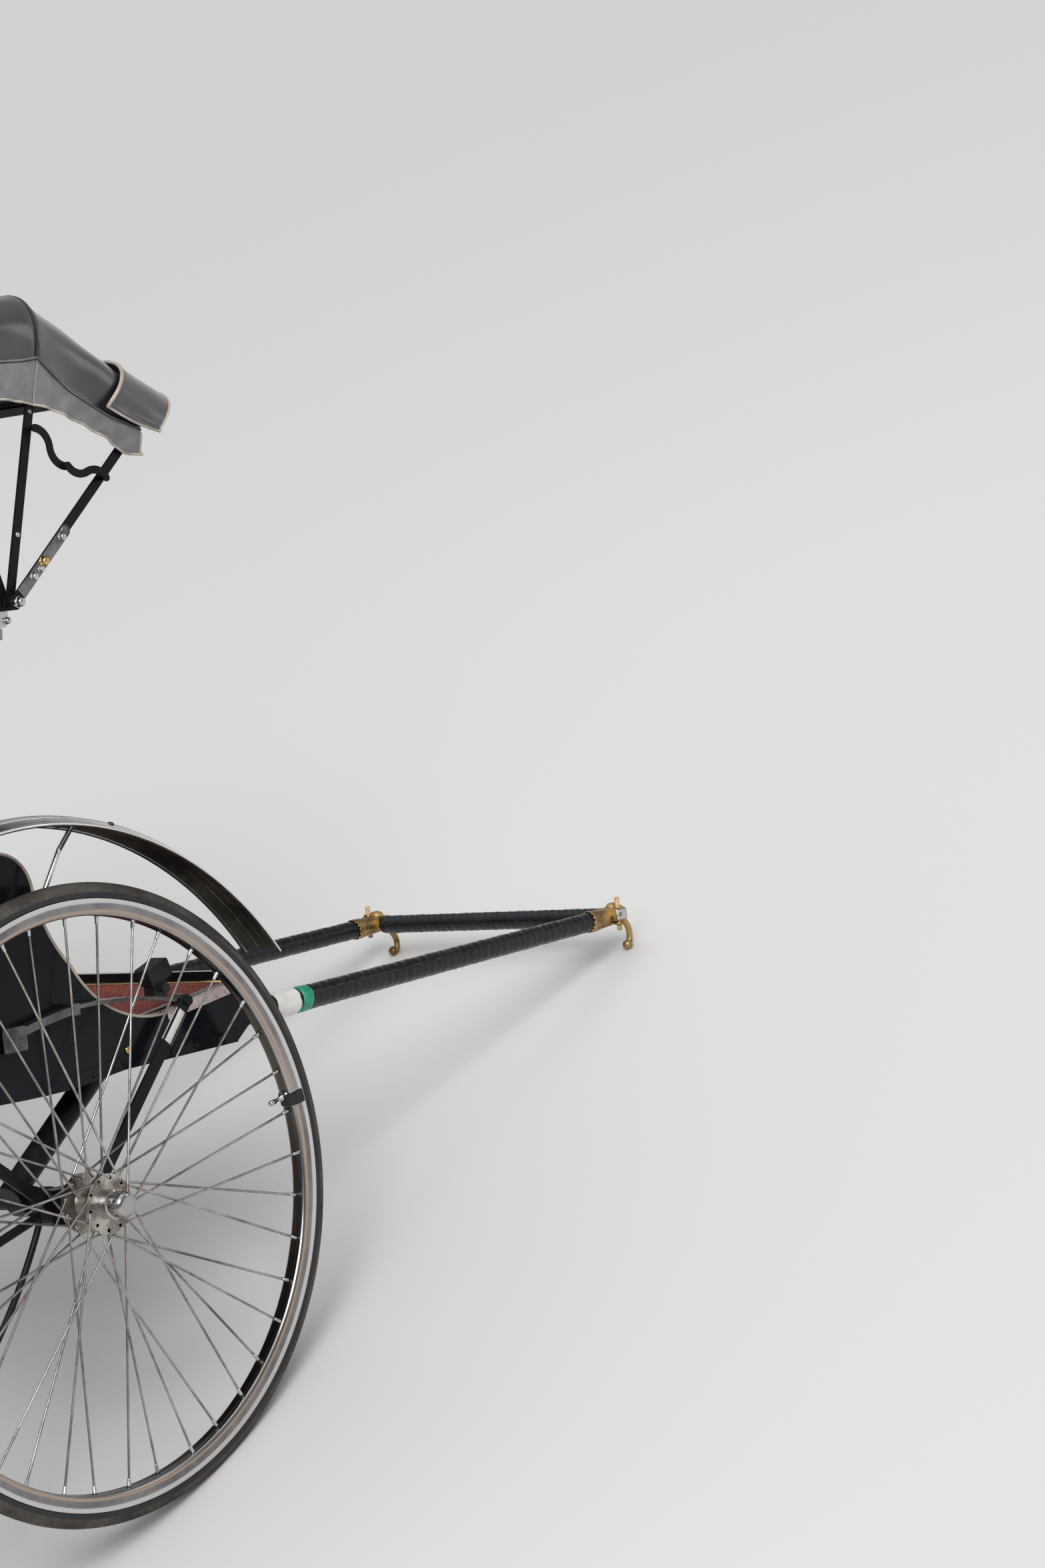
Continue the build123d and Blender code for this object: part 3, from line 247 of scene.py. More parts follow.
def make_piece(name, shells, finishes, body=None):
    """One object from shells that are already in place, with its finishes in order, riding on a body."""
    points, faces, uv, finish = joined(shells)
    mesh = bpy.data.meshes.new(name)
    mesh.vertices.add(len(points))
    mesh.vertices.foreach_set("co", points.astype(np.float32).ravel())
    mesh.loops.add(faces.size)
    mesh.loops.foreach_set("vertex_index", faces.astype(np.int32).ravel())
    mesh.polygons.add(len(faces))
    mesh.polygons.foreach_set("loop_start", np.arange(0, faces.size, 4, dtype=np.int32))
    mesh.update(calc_edges=True)
    mesh.uv_layers.new(name="along_across").data.foreach_set("uv", uv.astype(np.float32).ravel())
    mesh.polygons.foreach_set("material_index", finish.astype(np.int32))
    mesh.polygons.foreach_set("use_smooth", np.ones(len(faces), bool))
    for material in finishes:
        mesh.materials.append(material)
    weld(mesh)
    piece = linked(name, mesh)
    if body:
        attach(piece, body)
    print(name, len(mesh.polygons), "faces")
    return piece


# %% [markdown]
# Three formulas cover most hardware. A tube is a round profile carried along a path, a bar is a
# flat one, and a turned shape is a profile swept about an axis. Paths are drawn through a few
# points with a cubic whose slope at each point is half the step between its neighbours.

# %% Curves, tubes, bars and turned shapes
def unit(vectors):
    return vectors / np.maximum(np.linalg.norm(vectors, axis=-1, keepdims=True), 1e-12)


def curve_through(points, count):
    """A smooth path through the points: cubic Hermite pieces with central-difference slopes."""
    p = np.asarray(points, float)
    slope = np.gradient(p, axis=0)
    t = np.linspace(0, len(p) - 1, count)
    k = np.minimum(t.astype(int), len(p) - 2)
    f = (t - k)[:, None]
    start, end = p[k], p[k + 1]
    rise, fall = 3 * f**2 - 2 * f**3, f**3 - f**2
    return start * (1 - rise) + end * rise + slope[k] * (fall - f**2 + f) + slope[k + 1] * fall


def evenly(path, count):
    """The same path, measured along its length and read again at equal steps."""
    length = np.concatenate([[0], np.cumsum(np.linalg.norm(np.diff(path, axis=0), axis=1))])
    wanted = np.linspace(0, length[-1], count)
    return np.stack([np.interp(wanted, length, path[:, k]) for k in range(3)], -1)


def path_length(path):
    return float(np.linalg.norm(np.diff(path, axis=0), axis=1).sum())


def capped(points, first, last):
    """Rings of points, with one place before them and one behind that close the two ends."""
    return np.concatenate([first + 0 * points[:1], points, last + 0 * points[-1:]])


def tube(path, radius, sides=12, reference=(0, 1, 0), flat=1.0, finish=0, lobes=0.0):
    """Centre + radius x (cos a x across + flat x sin a x upright), where across is square to path and reference."""
    path = np.asarray(path, float)
    tangent = unit(np.gradient(path, axis=0))
    across = unit(np.cross(tangent, np.broadcast_to(reference, tangent.shape)))
    upright = np.cross(across, tangent)
    angle = np.linspace(0, 2 * np.pi, sides, endpoint=False)
    ring = np.cos(angle)[:, None] * across[:, None] + flat * np.sin(angle)[:, None] * upright[:, None]
    sizes = np.broadcast_to(radius, len(path))[:, None] + lobes
    points = capped(path[:, None] + sizes[..., None] * ring, path[0], path[-1])
    size = (path_length(path), 2 * np.pi * float(np.mean(sizes)))
    return shell(points, wrap_columns=True, uv_size=size, finish=finish)


def bar(path, width_vector, width, thickness, finish=0, edge=0.25):
    """A rounded flat profile carried along a path: eight corners, with width along one fixed direction."""
    path = np.asarray(path, float)
    tangent = unit(np.gradient(path, axis=0))
    wide = unit(np.broadcast_to(np.asarray(width_vector, float), tangent.shape))
    thick = unit(np.cross(wide, tangent))
    wide = np.cross(tangent, thick)
    cut = edge * thickness
    w, h = width / 2, thickness / 2
    corners = np.array([(w, h - cut), (w - cut, h), (cut - w, h), (-w, h - cut),
                        (-w, cut - h), (cut - w, -h), (w - cut, -h), (w, cut - h)])
    points = path[:, None] + corners[:, :1] * wide[:, None] + corners[:, 1:] * thick[:, None]
    size = (path_length(path), 2 * (width + thickness))
    return shell(capped(points, path[0], path[-1]), wrap_columns=True, uv_size=size, finish=finish)


def turned_shape(profile, centre, axis, sides=16, finish=0):
    """A profile of (distance along the axis, radius) pairs, swept round the axis through the centre."""
    axis = unit(np.asarray(axis, float))
    helper = np.array([0, 0, 1.0]) if abs(axis[2]) < 0.8 else np.array([1.0, 0, 0])
    u = unit(np.cross(axis, helper))
    v = np.cross(axis, u)
    angle = np.linspace(0, 2 * np.pi, sides, endpoint=False)
    ring = np.cos(angle)[:, None] * u + np.sin(angle)[:, None] * v
    profile = np.asarray(profile, float)
    points = np.asarray(centre, float) + profile[:, None, :1] * axis + profile[:, None, 1:] * ring
    size = (float(np.abs(np.diff(profile, axis=0)).sum()), 2 * np.pi * float(profile[:, 1].max()))
    return shell(points, wrap_columns=True, uv_size=size, finish=finish, flip=True)


def dome(radius, height):
    """Profile of a domed bolt head: a short straight skirt and a quarter circle."""
    a = np.linspace(0, np.pi / 2, 5)
    crown = np.stack([height * 0.35 + height * 0.65 * np.sin(a), radius * np.cos(a)], -1)
    return np.concatenate([[(0, 0), (0, radius)], crown])


def bolts(centres, axis, radius=0.005, height=0.004, sides=12, finish=0):
    """The same domed head at each centre, all facing along the axis."""
    return [turned_shape(dome(radius, height), c, axis, sides, finish) for c in centres]


def scattered(profile_grid, centres, x_axes, y_axes, z_axes, finish=0):
    """One small grid of points repeated: centre + x, y and z of each point along that place's own axes."""
    g = profile_grid
    points = (centres[:, None, None] + g[..., 0, None] * x_axes[:, None, None]
              + g[..., 1, None] * y_axes[:, None, None] + g[..., 2, None] * z_axes[:, None, None])
    return joined([shell(p, wrap_columns=True, uv_size=(0.004, 0.003), finish=finish) for p in points])


# %% [markdown]
# Finishes come next. Real surfaces are never one colour: paint has dust in it, chrome has lathe
# marks, leathercloth has a grain. Each such effect is a node group made once, with plain inputs,
# and every material places it with its own values.

# %% Small helpers for node trees
def feed(tree, node, inputs):
    """Each input gets its value: a socket is linked, a plain value is set, and a colour of three gets its alpha."""
    for key, value in inputs.items():
        socket = node.inputs[key.replace("_", " ") if isinstance(key, str) else key]
        if isinstance(value, bpy.types.NodeSocket):
            tree.links.new(value, socket)
        else:
            socket.default_value = (*value, 1) if socket.type == "RGBA" and len(value) == 3 else value


def add(tree, kind, inputs=None, **settings):
    """A shader node with its settings and its inputs."""
    node = tree.nodes.new("ShaderNode" + kind)
    for key, value in settings.items():
        setattr(node, key, value)
    feed(tree, node, inputs or {})
    return node


def place(tree, group, **inputs):
    """A node group put into a material; what comes back is its outputs."""
    node = add(tree, "Group", node_tree=group)
    feed(tree, node, inputs)
    return node.outputs


def new_group(name, inputs, outputs):
    """A node group: inputs are (name, kind, first value) and outputs are (name, kind)."""
    group = bpy.data.node_groups.new(name, "ShaderNodeTree")
    for title, kind, value in inputs:
        socket = group.interface.new_socket(title, in_out="INPUT", socket_type="NodeSocket" + kind)
        if value is not None:
            socket.default_value = value
    for title, kind in outputs:
        group.interface.new_socket(title, in_out="OUTPUT", socket_type="NodeSocket" + kind)
    return group, group.nodes.new("NodeGroupInput").outputs, group.nodes.new("NodeGroupOutput")


def math_node(tree, operation, first, second=0.0, third=0.0, clamp=False):
    return add(tree, "Math", {0: first, 1: second, 2: third}, operation=operation, use_clamp=clamp).outputs[0]


def times(tree, first, second, clamp=False):
    return math_node(tree, "MULTIPLY", first, second, clamp=clamp)


def plus(tree, first, second, clamp=False):
    return math_node(tree, "ADD", first, second, clamp=clamp)


def off_centre(tree, value):
    """How far a value lies from one half."""
    return math_node(tree, "ABSOLUTE", math_node(tree, "SUBTRACT", value, 0.5))


def noise(tree, vector, scale, detail=3.0, roughness=0.5):
    inputs = {"Vector": vector, "Scale": scale, "Detail": detail, "Roughness": roughness}
    return add(tree, "TexNoise", inputs).outputs["Fac"]


def ramp(tree, value, low, high):
    """A smooth step: 0 below low, 1 above high."""
    inputs = {"Value": value, "From Min": low, "From Max": high}
    return add(tree, "MapRange", inputs, interpolation_type="SMOOTHSTEP").outputs["Result"]


def between(tree, value, low, high):
    """A value that runs from 0 to 1, made to run from low to high."""
    return add(tree, "MapRange", {"Value": value, "To Min": low, "To Max": high}).outputs["Result"]


def mixed(tree, factor, first, second):
    """Two colours mixed by a factor."""
    return add(tree, "Mix", {0: factor, 6: first, 7: second}, data_type="RGBA").outputs[2]


def bumped(tree, height, strength, distance=0.001):
    """The normal of a surface that a height raises by up to the distance."""
    return add(tree, "Bump", {"Strength": strength, "Distance": distance, "Height": height}).outputs[0]


def begin(name):
    """A new material with its tree, its shader and the object's own coordinates."""
    material, tree, shader = new_material(name)
    return material, tree, shader, add(tree, "TexCoord").outputs["Object"]


def strip_uv(tree):
    """The pieces' own UV map: how far along and how far across its strip a place lies."""
    return add(tree, "UVMap", uv_map="along_across").outputs[0]


# %% [markdown]
# Uneven tone is what years of handling leave: broad soft patches with finer specks inside them.
# Two noises at different scales are added and spread between a dark and a light colour.

# %% Group: uneven tone
tone_group, given, result = new_group(
    "uneven_tone",
    [("Vector", "Vector", None), ("Scale", "Float", 6.0), ("Dark", "Color", (0, 0, 0, 1)),
     ("Light", "Color", (1, 1, 1, 1)), ("Spread", "Float", 0.5)],
    [("Colour", "Color"), ("Value", "Float")])
broad = noise(tone_group, given["Vector"], given["Scale"], 4.0)
fine = noise(tone_group, given["Vector"], times(tone_group, given["Scale"], 7.0), 3.0, 0.6)
both = plus(tone_group, times(tone_group, broad, 0.7), times(tone_group, fine, 0.3))
centred = math_node(tone_group, "SUBTRACT", both, 0.5)
stretch = times(tone_group, given["Spread"], 5.0)
spread_out = math_node(tone_group, "MULTIPLY_ADD", centred, stretch, 0.5, clamp=True)
feed(tone_group, result, {"Colour": mixed(tone_group, spread_out, given["Dark"], given["Light"]),
                          "Value": spread_out})

# %% [markdown]
# Dust settles on what faces up. The group multiplies a cloudy noise with how far the surface
# points to the sky, so flanks stay clean and tops go dull.

# %% Group: settled dust
dust_group, given, result = new_group(
    "settled_dust",
    [("Vector", "Vector", None), ("Scale", "Float", 9.0), ("Amount", "Float", 0.5)],
    [("Mask", "Float")])
sky_side = add(dust_group, "SeparateXYZ", {0: add(dust_group, "NewGeometry").outputs["Normal"]}).outputs["Z"]
clouds = ramp(dust_group, noise(dust_group, given["Vector"], given["Scale"], 6.0, 0.65), 0.35, 0.75)
lying = times(dust_group, clouds, ramp(dust_group, sky_side, -0.2, 0.9))
feed(dust_group, result, {"Mask": times(dust_group, lying, given["Amount"], clamp=True)})

# %% [markdown]
# Polished metal carries the marks of its making and of years of wiping. The marks run round a
# wheel or along a mudguard, so the group reads distance from a centre line instead of x and z,
# and a noise on that gives rings and lengthwise streaks.

# %% Group: marks that run round a centre line
rings_group, given, result = new_group(
    "marks_round_centre",
    [("Vector", "Vector", None), ("Centre", "Vector", (0, 0, 0)), ("Scale", "Float", 300.0),
     ("Drift", "Float", 0.02)],
    [("Value", "Float"), ("Radius", "Float"), ("Outward", "Float")])
from_centre = add(rings_group, "VectorMath", {0: given["Vector"], 1: given["Centre"]}, operation="SUBTRACT")
parts = add(rings_group, "SeparateXYZ", {0: from_centre.outputs[0]}).outputs
in_plane = add(rings_group, "CombineXYZ", {0: parts["X"], 2: parts["Z"]}).outputs[0]
radius_of = add(rings_group, "VectorMath", {0: in_plane}, operation="LENGTH").outputs["Value"]
drifted = times(rings_group, parts["X"], given["Drift"])
read_at = add(rings_group, "CombineXYZ", {0: radius_of, 1: parts["Y"], 2: drifted}).outputs[0]
away = add(rings_group, "VectorMath", {0: in_plane}, operation="NORMALIZE").outputs[0]
surface = add(rings_group, "NewGeometry").outputs["Normal"]
facing = add(rings_group, "VectorMath", {0: away, 1: surface}, operation="DOT_PRODUCT").outputs["Value"]
feed(rings_group, result, {"Value": noise(rings_group, read_at, given["Scale"], 2.0), "Radius": radius_of,
                           "Outward": facing})

# %% [markdown]
# Leathercloth is embossed with a skin pattern: rounded cells a millimetre or two across, with
# fine creases between them. Cell distances from a Voronoi texture are that pattern already.

# %% Group: leather grain
grain_group, given, result = new_group(
    "leather_grain",
    [("Vector", "Vector", None), ("Scale", "Float", 700.0), ("Creasing", "Float", 0.4)],
    [("Height", "Float"), ("Crease", "Float")])
cells = add(grain_group, "TexVoronoi", {"Vector": given["Vector"], "Scale": given["Scale"]},
            feature="DISTANCE_TO_EDGE").outputs["Distance"]
off_crease = ramp(grain_group, off_centre(grain_group, noise(grain_group, given["Vector"], 14.0, 5.0, 0.6)), 0.0, 0.03)
crease_depth = times(grain_group, math_node(grain_group, "SUBTRACT", 1.0, off_crease), given["Creasing"])
cell_height = math_node(grain_group, "SUBTRACT", ramp(grain_group, cells, 0.0, 0.25),
                        times(grain_group, crease_depth, 1.5))
feed(grain_group, result, {"Height": cell_height, "Crease": crease_depth})

# %% [markdown]
# Scuffs are short bright or dull strokes where things rubbed. A noise stretched along one
# direction and cut at a high level leaves a few thin strokes.

# %% Group: scuffs
scuff_group, given, result = new_group(
    "scuffs",
    [("Vector", "Vector", None), ("Scale", "Float", 40.0), ("Amount", "Float", 0.5)],
    [("Mask", "Float")])
stretched = add(scuff_group, "Mapping", {"Vector": given["Vector"], "Scale": (0.25, 1.0, 1.8),
                                         "Rotation": (0.3, 0.5, 0.2)}).outputs[0]
strokes = ramp(scuff_group, noise(scuff_group, stretched, given["Scale"], 6.0, 0.7), 0.62, 0.72)
where = ramp(scuff_group, noise(scuff_group, given["Vector"], 5.0, 2.0), 0.45, 0.6)
feed(scuff_group, result, {"Mask": times(scuff_group, times(scuff_group, strokes, where), given["Amount"],
                                         clamp=True)})

# %% [markdown]
# Most finishes of the vehicle differ only in values: two tones, a roughness, how much dust and
# how many scuffs. One function wires the groups to a Principled shader in that order, and the
# values are what make lacquer, chrome or brass.

# %% One function for the plain finishes
def make_finish(name, dark, light, roughness, metallic=0.0, tone_scale=6.0, spread=0.5, dust=0.0,
                dust_tone=(0.30, 0.27, 0.23), scuffs=0.0, scuff_tone=(0.35, 0.34, 0.33), bump=0.0,
                bump_scale=60.0, coat=0.0, specular=0.5, centre=None, ring_scale=260.0):
    """Tone, then scuffs, then dust, one over the other; roughness is (low, high) and follows the tone."""
    material, tree, shader, spot = begin(name)
    tone = place(tree, tone_group, Vector=spot, Scale=tone_scale, Dark=dark, Light=light, Spread=spread)
    colour, value, metal = tone["Colour"], tone["Value"], metallic
    if centre is not None:
        marks = place(tree, rings_group, Vector=spot, Centre=centre, Scale=ring_scale)["Value"]
        value = plus(tree, times(tree, value, 0.5), times(tree, marks, 0.5))
    rough = between(tree, value, *roughness)
    if scuffs:
        mask = place(tree, scuff_group, Vector=spot, Amount=scuffs)["Mask"]
        colour = mixed(tree, mask, colour, scuff_tone)
        rough = plus(tree, rough, times(tree, mask, 0.25), clamp=True)
    if dust:
        film = place(tree, dust_group, Vector=spot, Amount=dust)["Mask"]
        colour = mixed(tree, film, colour, dust_tone)
        rough = plus(tree, rough, times(tree, film, 0.5), clamp=True)
        if metallic:
            metal = times(tree, math_node(tree, "SUBTRACT", 1.0, film), metallic)
    feed(tree, shader, {"Base Color": colour, "Roughness": rough, "Metallic": metal, "Coat Weight": coat,
                        "Coat Roughness": 0.06, "Specular IOR Level": specular})
    if bump:
        height = noise(tree, spot, bump_scale, 4.0, 0.6) if centre is None else marks
        feed(tree, shader, {"Normal": bumped(tree, height, bump)})
    return material


fender_x, fender_z = -0.090, -0.020
wheel_centres = {side: tuple(parked([0, sign * wheel_side, 0]).tolist()) for side, sign in both_sides}
fender_centre = tuple(parked([fender_x, 0, fender_z]).tolist())

lacquer = make_finish("black_lacquer", (0.003, 0.004, 0.006), (0.007, 0.008, 0.011), (0.12, 0.24), tone_scale=5,
                      dust=0.05, scuffs=0.07, bump=0.04, bump_scale=9, coat=0.05, specular=0.13)
black_paint = make_finish("black_frame", (0.003, 0.004, 0.005), (0.009, 0.010, 0.011), (0.26, 0.42), tone_scale=9,
                          dust=0.07, scuffs=0.16, bump=0.12, bump_scale=160, specular=0.15)
bow_paint = make_finish("bow_black", (0.002, 0.0025, 0.003), (0.007, 0.007, 0.009), (0.30, 0.46), tone_scale=12,
                        dust=0.04, scuffs=0.10, bump=0.10, bump_scale=140, specular=0.16)
dull_steel = make_finish("dull_steel", (0.11, 0.11, 0.12), (0.33, 0.32, 0.33), (0.30, 0.52), 1.0, 14, 0.7,
                         dust=0.12, bump=0.2, bump_scale=220)
bright_chrome = make_finish("chrome", (0.42, 0.42, 0.44), (0.68, 0.68, 0.70), (0.05, 0.16), 1.0, 9,
                            dust=0.05, bump=0.04, bump_scale=70)
spring_steel = make_finish("spring_steel", (0.045, 0.042, 0.042), (0.20, 0.19, 0.19), (0.24, 0.44), 1.0, 12, 0.7,
                           dust=0.06, bump=0.15, bump_scale=200)
brass = make_finish("worn_brass", (0.20, 0.115, 0.045), (0.52, 0.36, 0.15), (0.28, 0.50), 1.0, 26, 0.9,
                    dust=0.10, bump=0.25, bump_scale=180)
bright_brass = make_finish("bright_brass", (0.55, 0.36, 0.12), (0.78, 0.58, 0.26), (0.14, 0.26), 1.0, 30, bump=0.05)
aluminium = make_finish("bracket_aluminium", (0.46, 0.45, 0.43), (0.70, 0.69, 0.66), (0.28, 0.42), 1.0, 30,
                        dust=0.10, bump=0.15, bump_scale=300)
black_plastic = make_finish("black_plastic", (0.004, 0.004, 0.005), (0.012, 0.012, 0.014), (0.42, 0.60), 0.0, 20,
                            dust=0.08, bump=0.25, bump_scale=500, specular=0.4)
cream_piping = make_finish("cream_piping", (0.40, 0.33, 0.26), (0.58, 0.51, 0.43), (0.50, 0.68), 0.0, 22, 0.8,
                           bump=0.2, bump_scale=400)
pale_strip = make_finish("pale_strip", (0.52, 0.38, 0.36), (0.72, 0.60, 0.58), (0.22, 0.38), 0.0, 16, 0.8,
                         dust=0.20, dust_tone=(0.34, 0.27, 0.24), scuffs=0.35, coat=0.4)
white_tape = make_finish("white_tape", (0.56, 0.54, 0.51), (0.78, 0.77, 0.74), (0.34, 0.5), 0.0, 30, 0.8,
                         dust=0.18, bump=0.5, bump_scale=55)
green_tape = make_finish("green_tape", (0.004, 0.16, 0.09), (0.015, 0.34, 0.20), (0.22, 0.36), 0.0, 30, 0.8,
                         bump=0.5, bump_scale=60)
peg_wood = make_finish("peg_wood", (0.36, 0.22, 0.09), (0.60, 0.43, 0.21), (0.40, 0.55), 0.0, 60, 0.9,
                       bump=0.2, bump_scale=200)
floor_paint = make_finish("underside_black", (0.006, 0.006, 0.006), (0.018, 0.017, 0.016), (0.45, 0.7), 0.0, 8,
                          dust=0.35, scuffs=0.25, bump=0.2, bump_scale=120)
trim_strip = make_finish("grey_trim", (0.17, 0.16, 0.15), (0.30, 0.28, 0.27), (0.30, 0.5), 0.6, 18,
                         dust=0.2, scuffs=0.3)
seam_thread = make_finish("seam_thread", (0.10, 0.10, 0.11), (0.20, 0.19, 0.20), (0.6, 0.8), 0.0, 60)
binding = make_finish("cream_binding", (0.27, 0.235, 0.195), (0.47, 0.42, 0.36), (0.55, 0.75), 0.0, 25, 0.8,
                      dust=0.15, bump=0.35, bump_scale=500)
cap_metal = {side: make_finish(f"cap_chrome_{side}", (0.30, 0.28, 0.27), (0.58, 0.57, 0.57), (0.03, 0.12), 1.0, 7,
                               0.35, dust=0.04, bump=0.05, centre=wheel_centres[side], ring_scale=420)
             for side, sign in both_sides}
print("plain finishes:", len(bpy.data.materials))

# %% [markdown]
# The rim and the spokes turn about the axle, and polishing left rings round it. The spokes are
# one node with the hub's flanges: they are duller steel, so distance from the axle chooses
# between the two. The rim is one strip, so its own UV map says where across it a place lies:
# the bed is painted as a dark reflection and is rougher, each flank has a painted tan reflection
# band, and the lips carry painted highlights.

# %% Wheel metals
flange_edge = (0.052, 0.056)
# Shares across the rim strip: the bed, a painted tan reflection band and painted highlight bands.
rim_bed_share, painted_tan_reflection_band, painted_highlight_bands = 0.058, (0.100, 0.138), ((0.078, 0.086), (0.205, 0.275))


def make_spoke_metal(side):
    """Polished flanges inside the flange radius, grimy grey spokes outside it."""
    material, tree, shader, spot = begin(f"spoke_steel_{side}")
    marks = place(tree, rings_group, Vector=spot, Centre=wheel_centres[side], Scale=500.0)
    spoke = place(tree, tone_group, Vector=spot, Scale=11.0, Dark=(0.17, 0.155, 0.145), Light=(0.50, 0.48, 0.46),
                  Spread=0.8)
    flange = place(tree, tone_group, Vector=spot, Scale=25.0, Dark=(0.17, 0.14, 0.12), Light=(0.52, 0.485, 0.45),
                   Spread=1.0)
    outside = ramp(tree, marks["Radius"], *flange_edge)
    feed(tree, shader, {"Base Color": mixed(tree, outside, flange["Colour"], spoke["Colour"]),
                        "Roughness": between(tree, spoke["Value"], 0.42, 0.22), "Metallic": 1.0})
    return material


def band(tree, value, low, high, soft=0.012):
    """1 where the value lies between low and high, with soft edges."""
    above, past = (ramp(tree, value, edge - soft, edge + soft) for edge in (low, high))
    return math_node(tree, "SUBTRACT", above, past, clamp=True)


def make_rim_chrome(side):
    """Chrome rolled lengthwise, with painted reflections: a dark bed, tan flank bands and bright lips, by place across
    the strip.
    """
    material, tree, shader, spot = begin(f"rim_chrome_{side}")
    across = add(tree, "SeparateXYZ", {0: strip_uv(tree)}).outputs["Y"]
    marks = place(tree, rings_group, Vector=spot, Centre=wheel_centres[side], Scale=420.0)
    off_bed = plus(tree, off_centre(tree, across), between(tree, noise(tree, spot, 9.0), -0.012, 0.012))
    steel = place(tree, tone_group, Vector=spot, Scale=8.0, Dark=(0.16, 0.155, 0.16), Light=(0.34, 0.33, 0.335),
                  Spread=0.6)
    in_bed = band(tree, off_bed, -0.1, rim_bed_share)
    # Painted reflections: a dark brown bed and a tan band on each flank; the bright bands at the lips are painted
    # highlights.
    colour = mixed(tree, in_bed, steel["Colour"], (0.105, 0.088, 0.074))
    colour = mixed(tree, band(tree, off_bed, *painted_tan_reflection_band), colour, (0.46, 0.36, 0.29))
    for low, high in painted_highlight_bands:
        colour = mixed(tree, band(tree, off_bed, low, high, 0.010), colour, (0.66, 0.64, 0.63))
    rough = plus(tree, between(tree, marks["Value"], 0.10, 0.22), times(tree, in_bed, 0.12))
    feed(tree, shader, {"Base Color": colour, "Roughness": rough, "Metallic": 1.0})
    return material


rim_metal = {side: make_rim_chrome(side) for side, sign in both_sides}
spoke_metal = {side: make_spoke_metal(side) for side, sign in both_sides}

# %% [markdown]
# The mudguard is polished stainless sheet. Its upper face carries lengthwise polishing marks,
# with darker bands along them that are painted reflection. Its hollow underside is painted near
# black as shade, over brown staining. Which side a face is on
# is the sign of its normal along the line from the arch's centre.

# %% Mudguard steel
def make_fender_steel():
    """Bright steel with painted reflection bands outside; painted shade over brown staining where the surface faces
    the arch's centre.
    """
    material, tree, shader, spot = begin("mudguard_stainless")
    marks = place(tree, rings_group, Vector=spot, Centre=fender_centre, Scale=380.0, Drift=0.01)
    # Painted shade under the guard: faces turned to the arch's centre get a near-black colour over brown staining, and
    # are rougher and less metallic.
    under = ramp(tree, times(tree, marks["Outward"], -1.0), 0.15, 0.45)
    bright = place(tree, tone_group, Vector=spot, Scale=5.0, Dark=(0.60, 0.585, 0.58), Light=(0.92, 0.905, 0.90),
                   Spread=0.7)
    shade_and_stain_tone = place(tree, tone_group, Vector=spot, Scale=8.0, Dark=(0.010, 0.010, 0.009),
                   Light=(0.065, 0.060, 0.048), Spread=1.0)
    film = place(tree, dust_group, Vector=spot, Scale=7.0, Amount=0.10)["Mask"]
    colour = mixed(tree, film, bright["Colour"], (0.36, 0.33, 0.30))
    # Painted reflection: darker lengthwise bands along the polishing marks.
    painted_reflection_streak = times(tree, ramp(tree, marks["Value"], 0.52, 0.70), 0.7)
    colour = mixed(tree, painted_reflection_streak, colour, (0.20, 0.195, 0.195))
    rough = plus(tree, between(tree, marks["Value"], 0.14, 0.30), times(tree, under, 0.30), clamp=True)
    feed(tree, shader, {"Base Color": mixed(tree, under, colour, shade_and_stain_tone["Colour"]), "Roughness": rough,
                        "Metallic": math_node(tree, "SUBTRACT", 1.0, times(tree, under, 0.35)),
                        "Normal": bumped(tree, marks["Value"], 0.06)})
    return material


fender_steel = make_fender_steel()

# %% [markdown]
# Tyre rubber has two looks: a dusty brown-grey tread that the road keeps matt, and a smooth
# blue-black wall. The tyre's own UV map says how far round its section a face lies, so the
# change follows the moulding.

# %% Tyre rubber
tread_share = 0.48


def make_tyre_rubber():
    """Tread tone in the middle of the section and wall tone at its sides, with a soft edge between."""
    material, tree, shader, spot = begin("tyre_rubber")
    across = add(tree, "SeparateXYZ", {0: strip_uv(tree)}).outputs["Y"]
    wall = ramp(tree, off_centre(tree, across), tread_share * 0.5 - 0.012, tread_share * 0.5 + 0.012)
    tread = place(tree, tone_group, Vector=spot, Scale=13.0, Dark=(0.024, 0.020, 0.017),
                  Light=(0.085, 0.074, 0.063), Spread=0.8)
    side = place(tree, tone_group, Vector=spot, Scale=9.0, Dark=(0.004, 0.005, 0.007),
                 Light=(0.013, 0.014, 0.017), Spread=0.7)
    film = place(tree, dust_group, Vector=spot, Scale=16.0, Amount=0.10)["Mask"]
    colour = mixed(tree, wall, tread["Colour"], side["Colour"])
    feed(tree, shader, {"Base Color": mixed(tree, film, colour, (0.14, 0.12, 0.10)),
                        "Roughness": between(tree, wall, 0.92, 0.52),
                        "Normal": bumped(tree, noise(tree, spot, 420.0, 3.0), 0.4, 0.0006)})
    return material


tyre_rubber = make_tyre_rubber()

# %% [markdown]
# The carpet is cut pile in terracotta red with paler flecks. At this size a loop is a dot, so a
# fine Voronoi makes both the flecks and the bump, and a slower noise the worn paths of shoes.

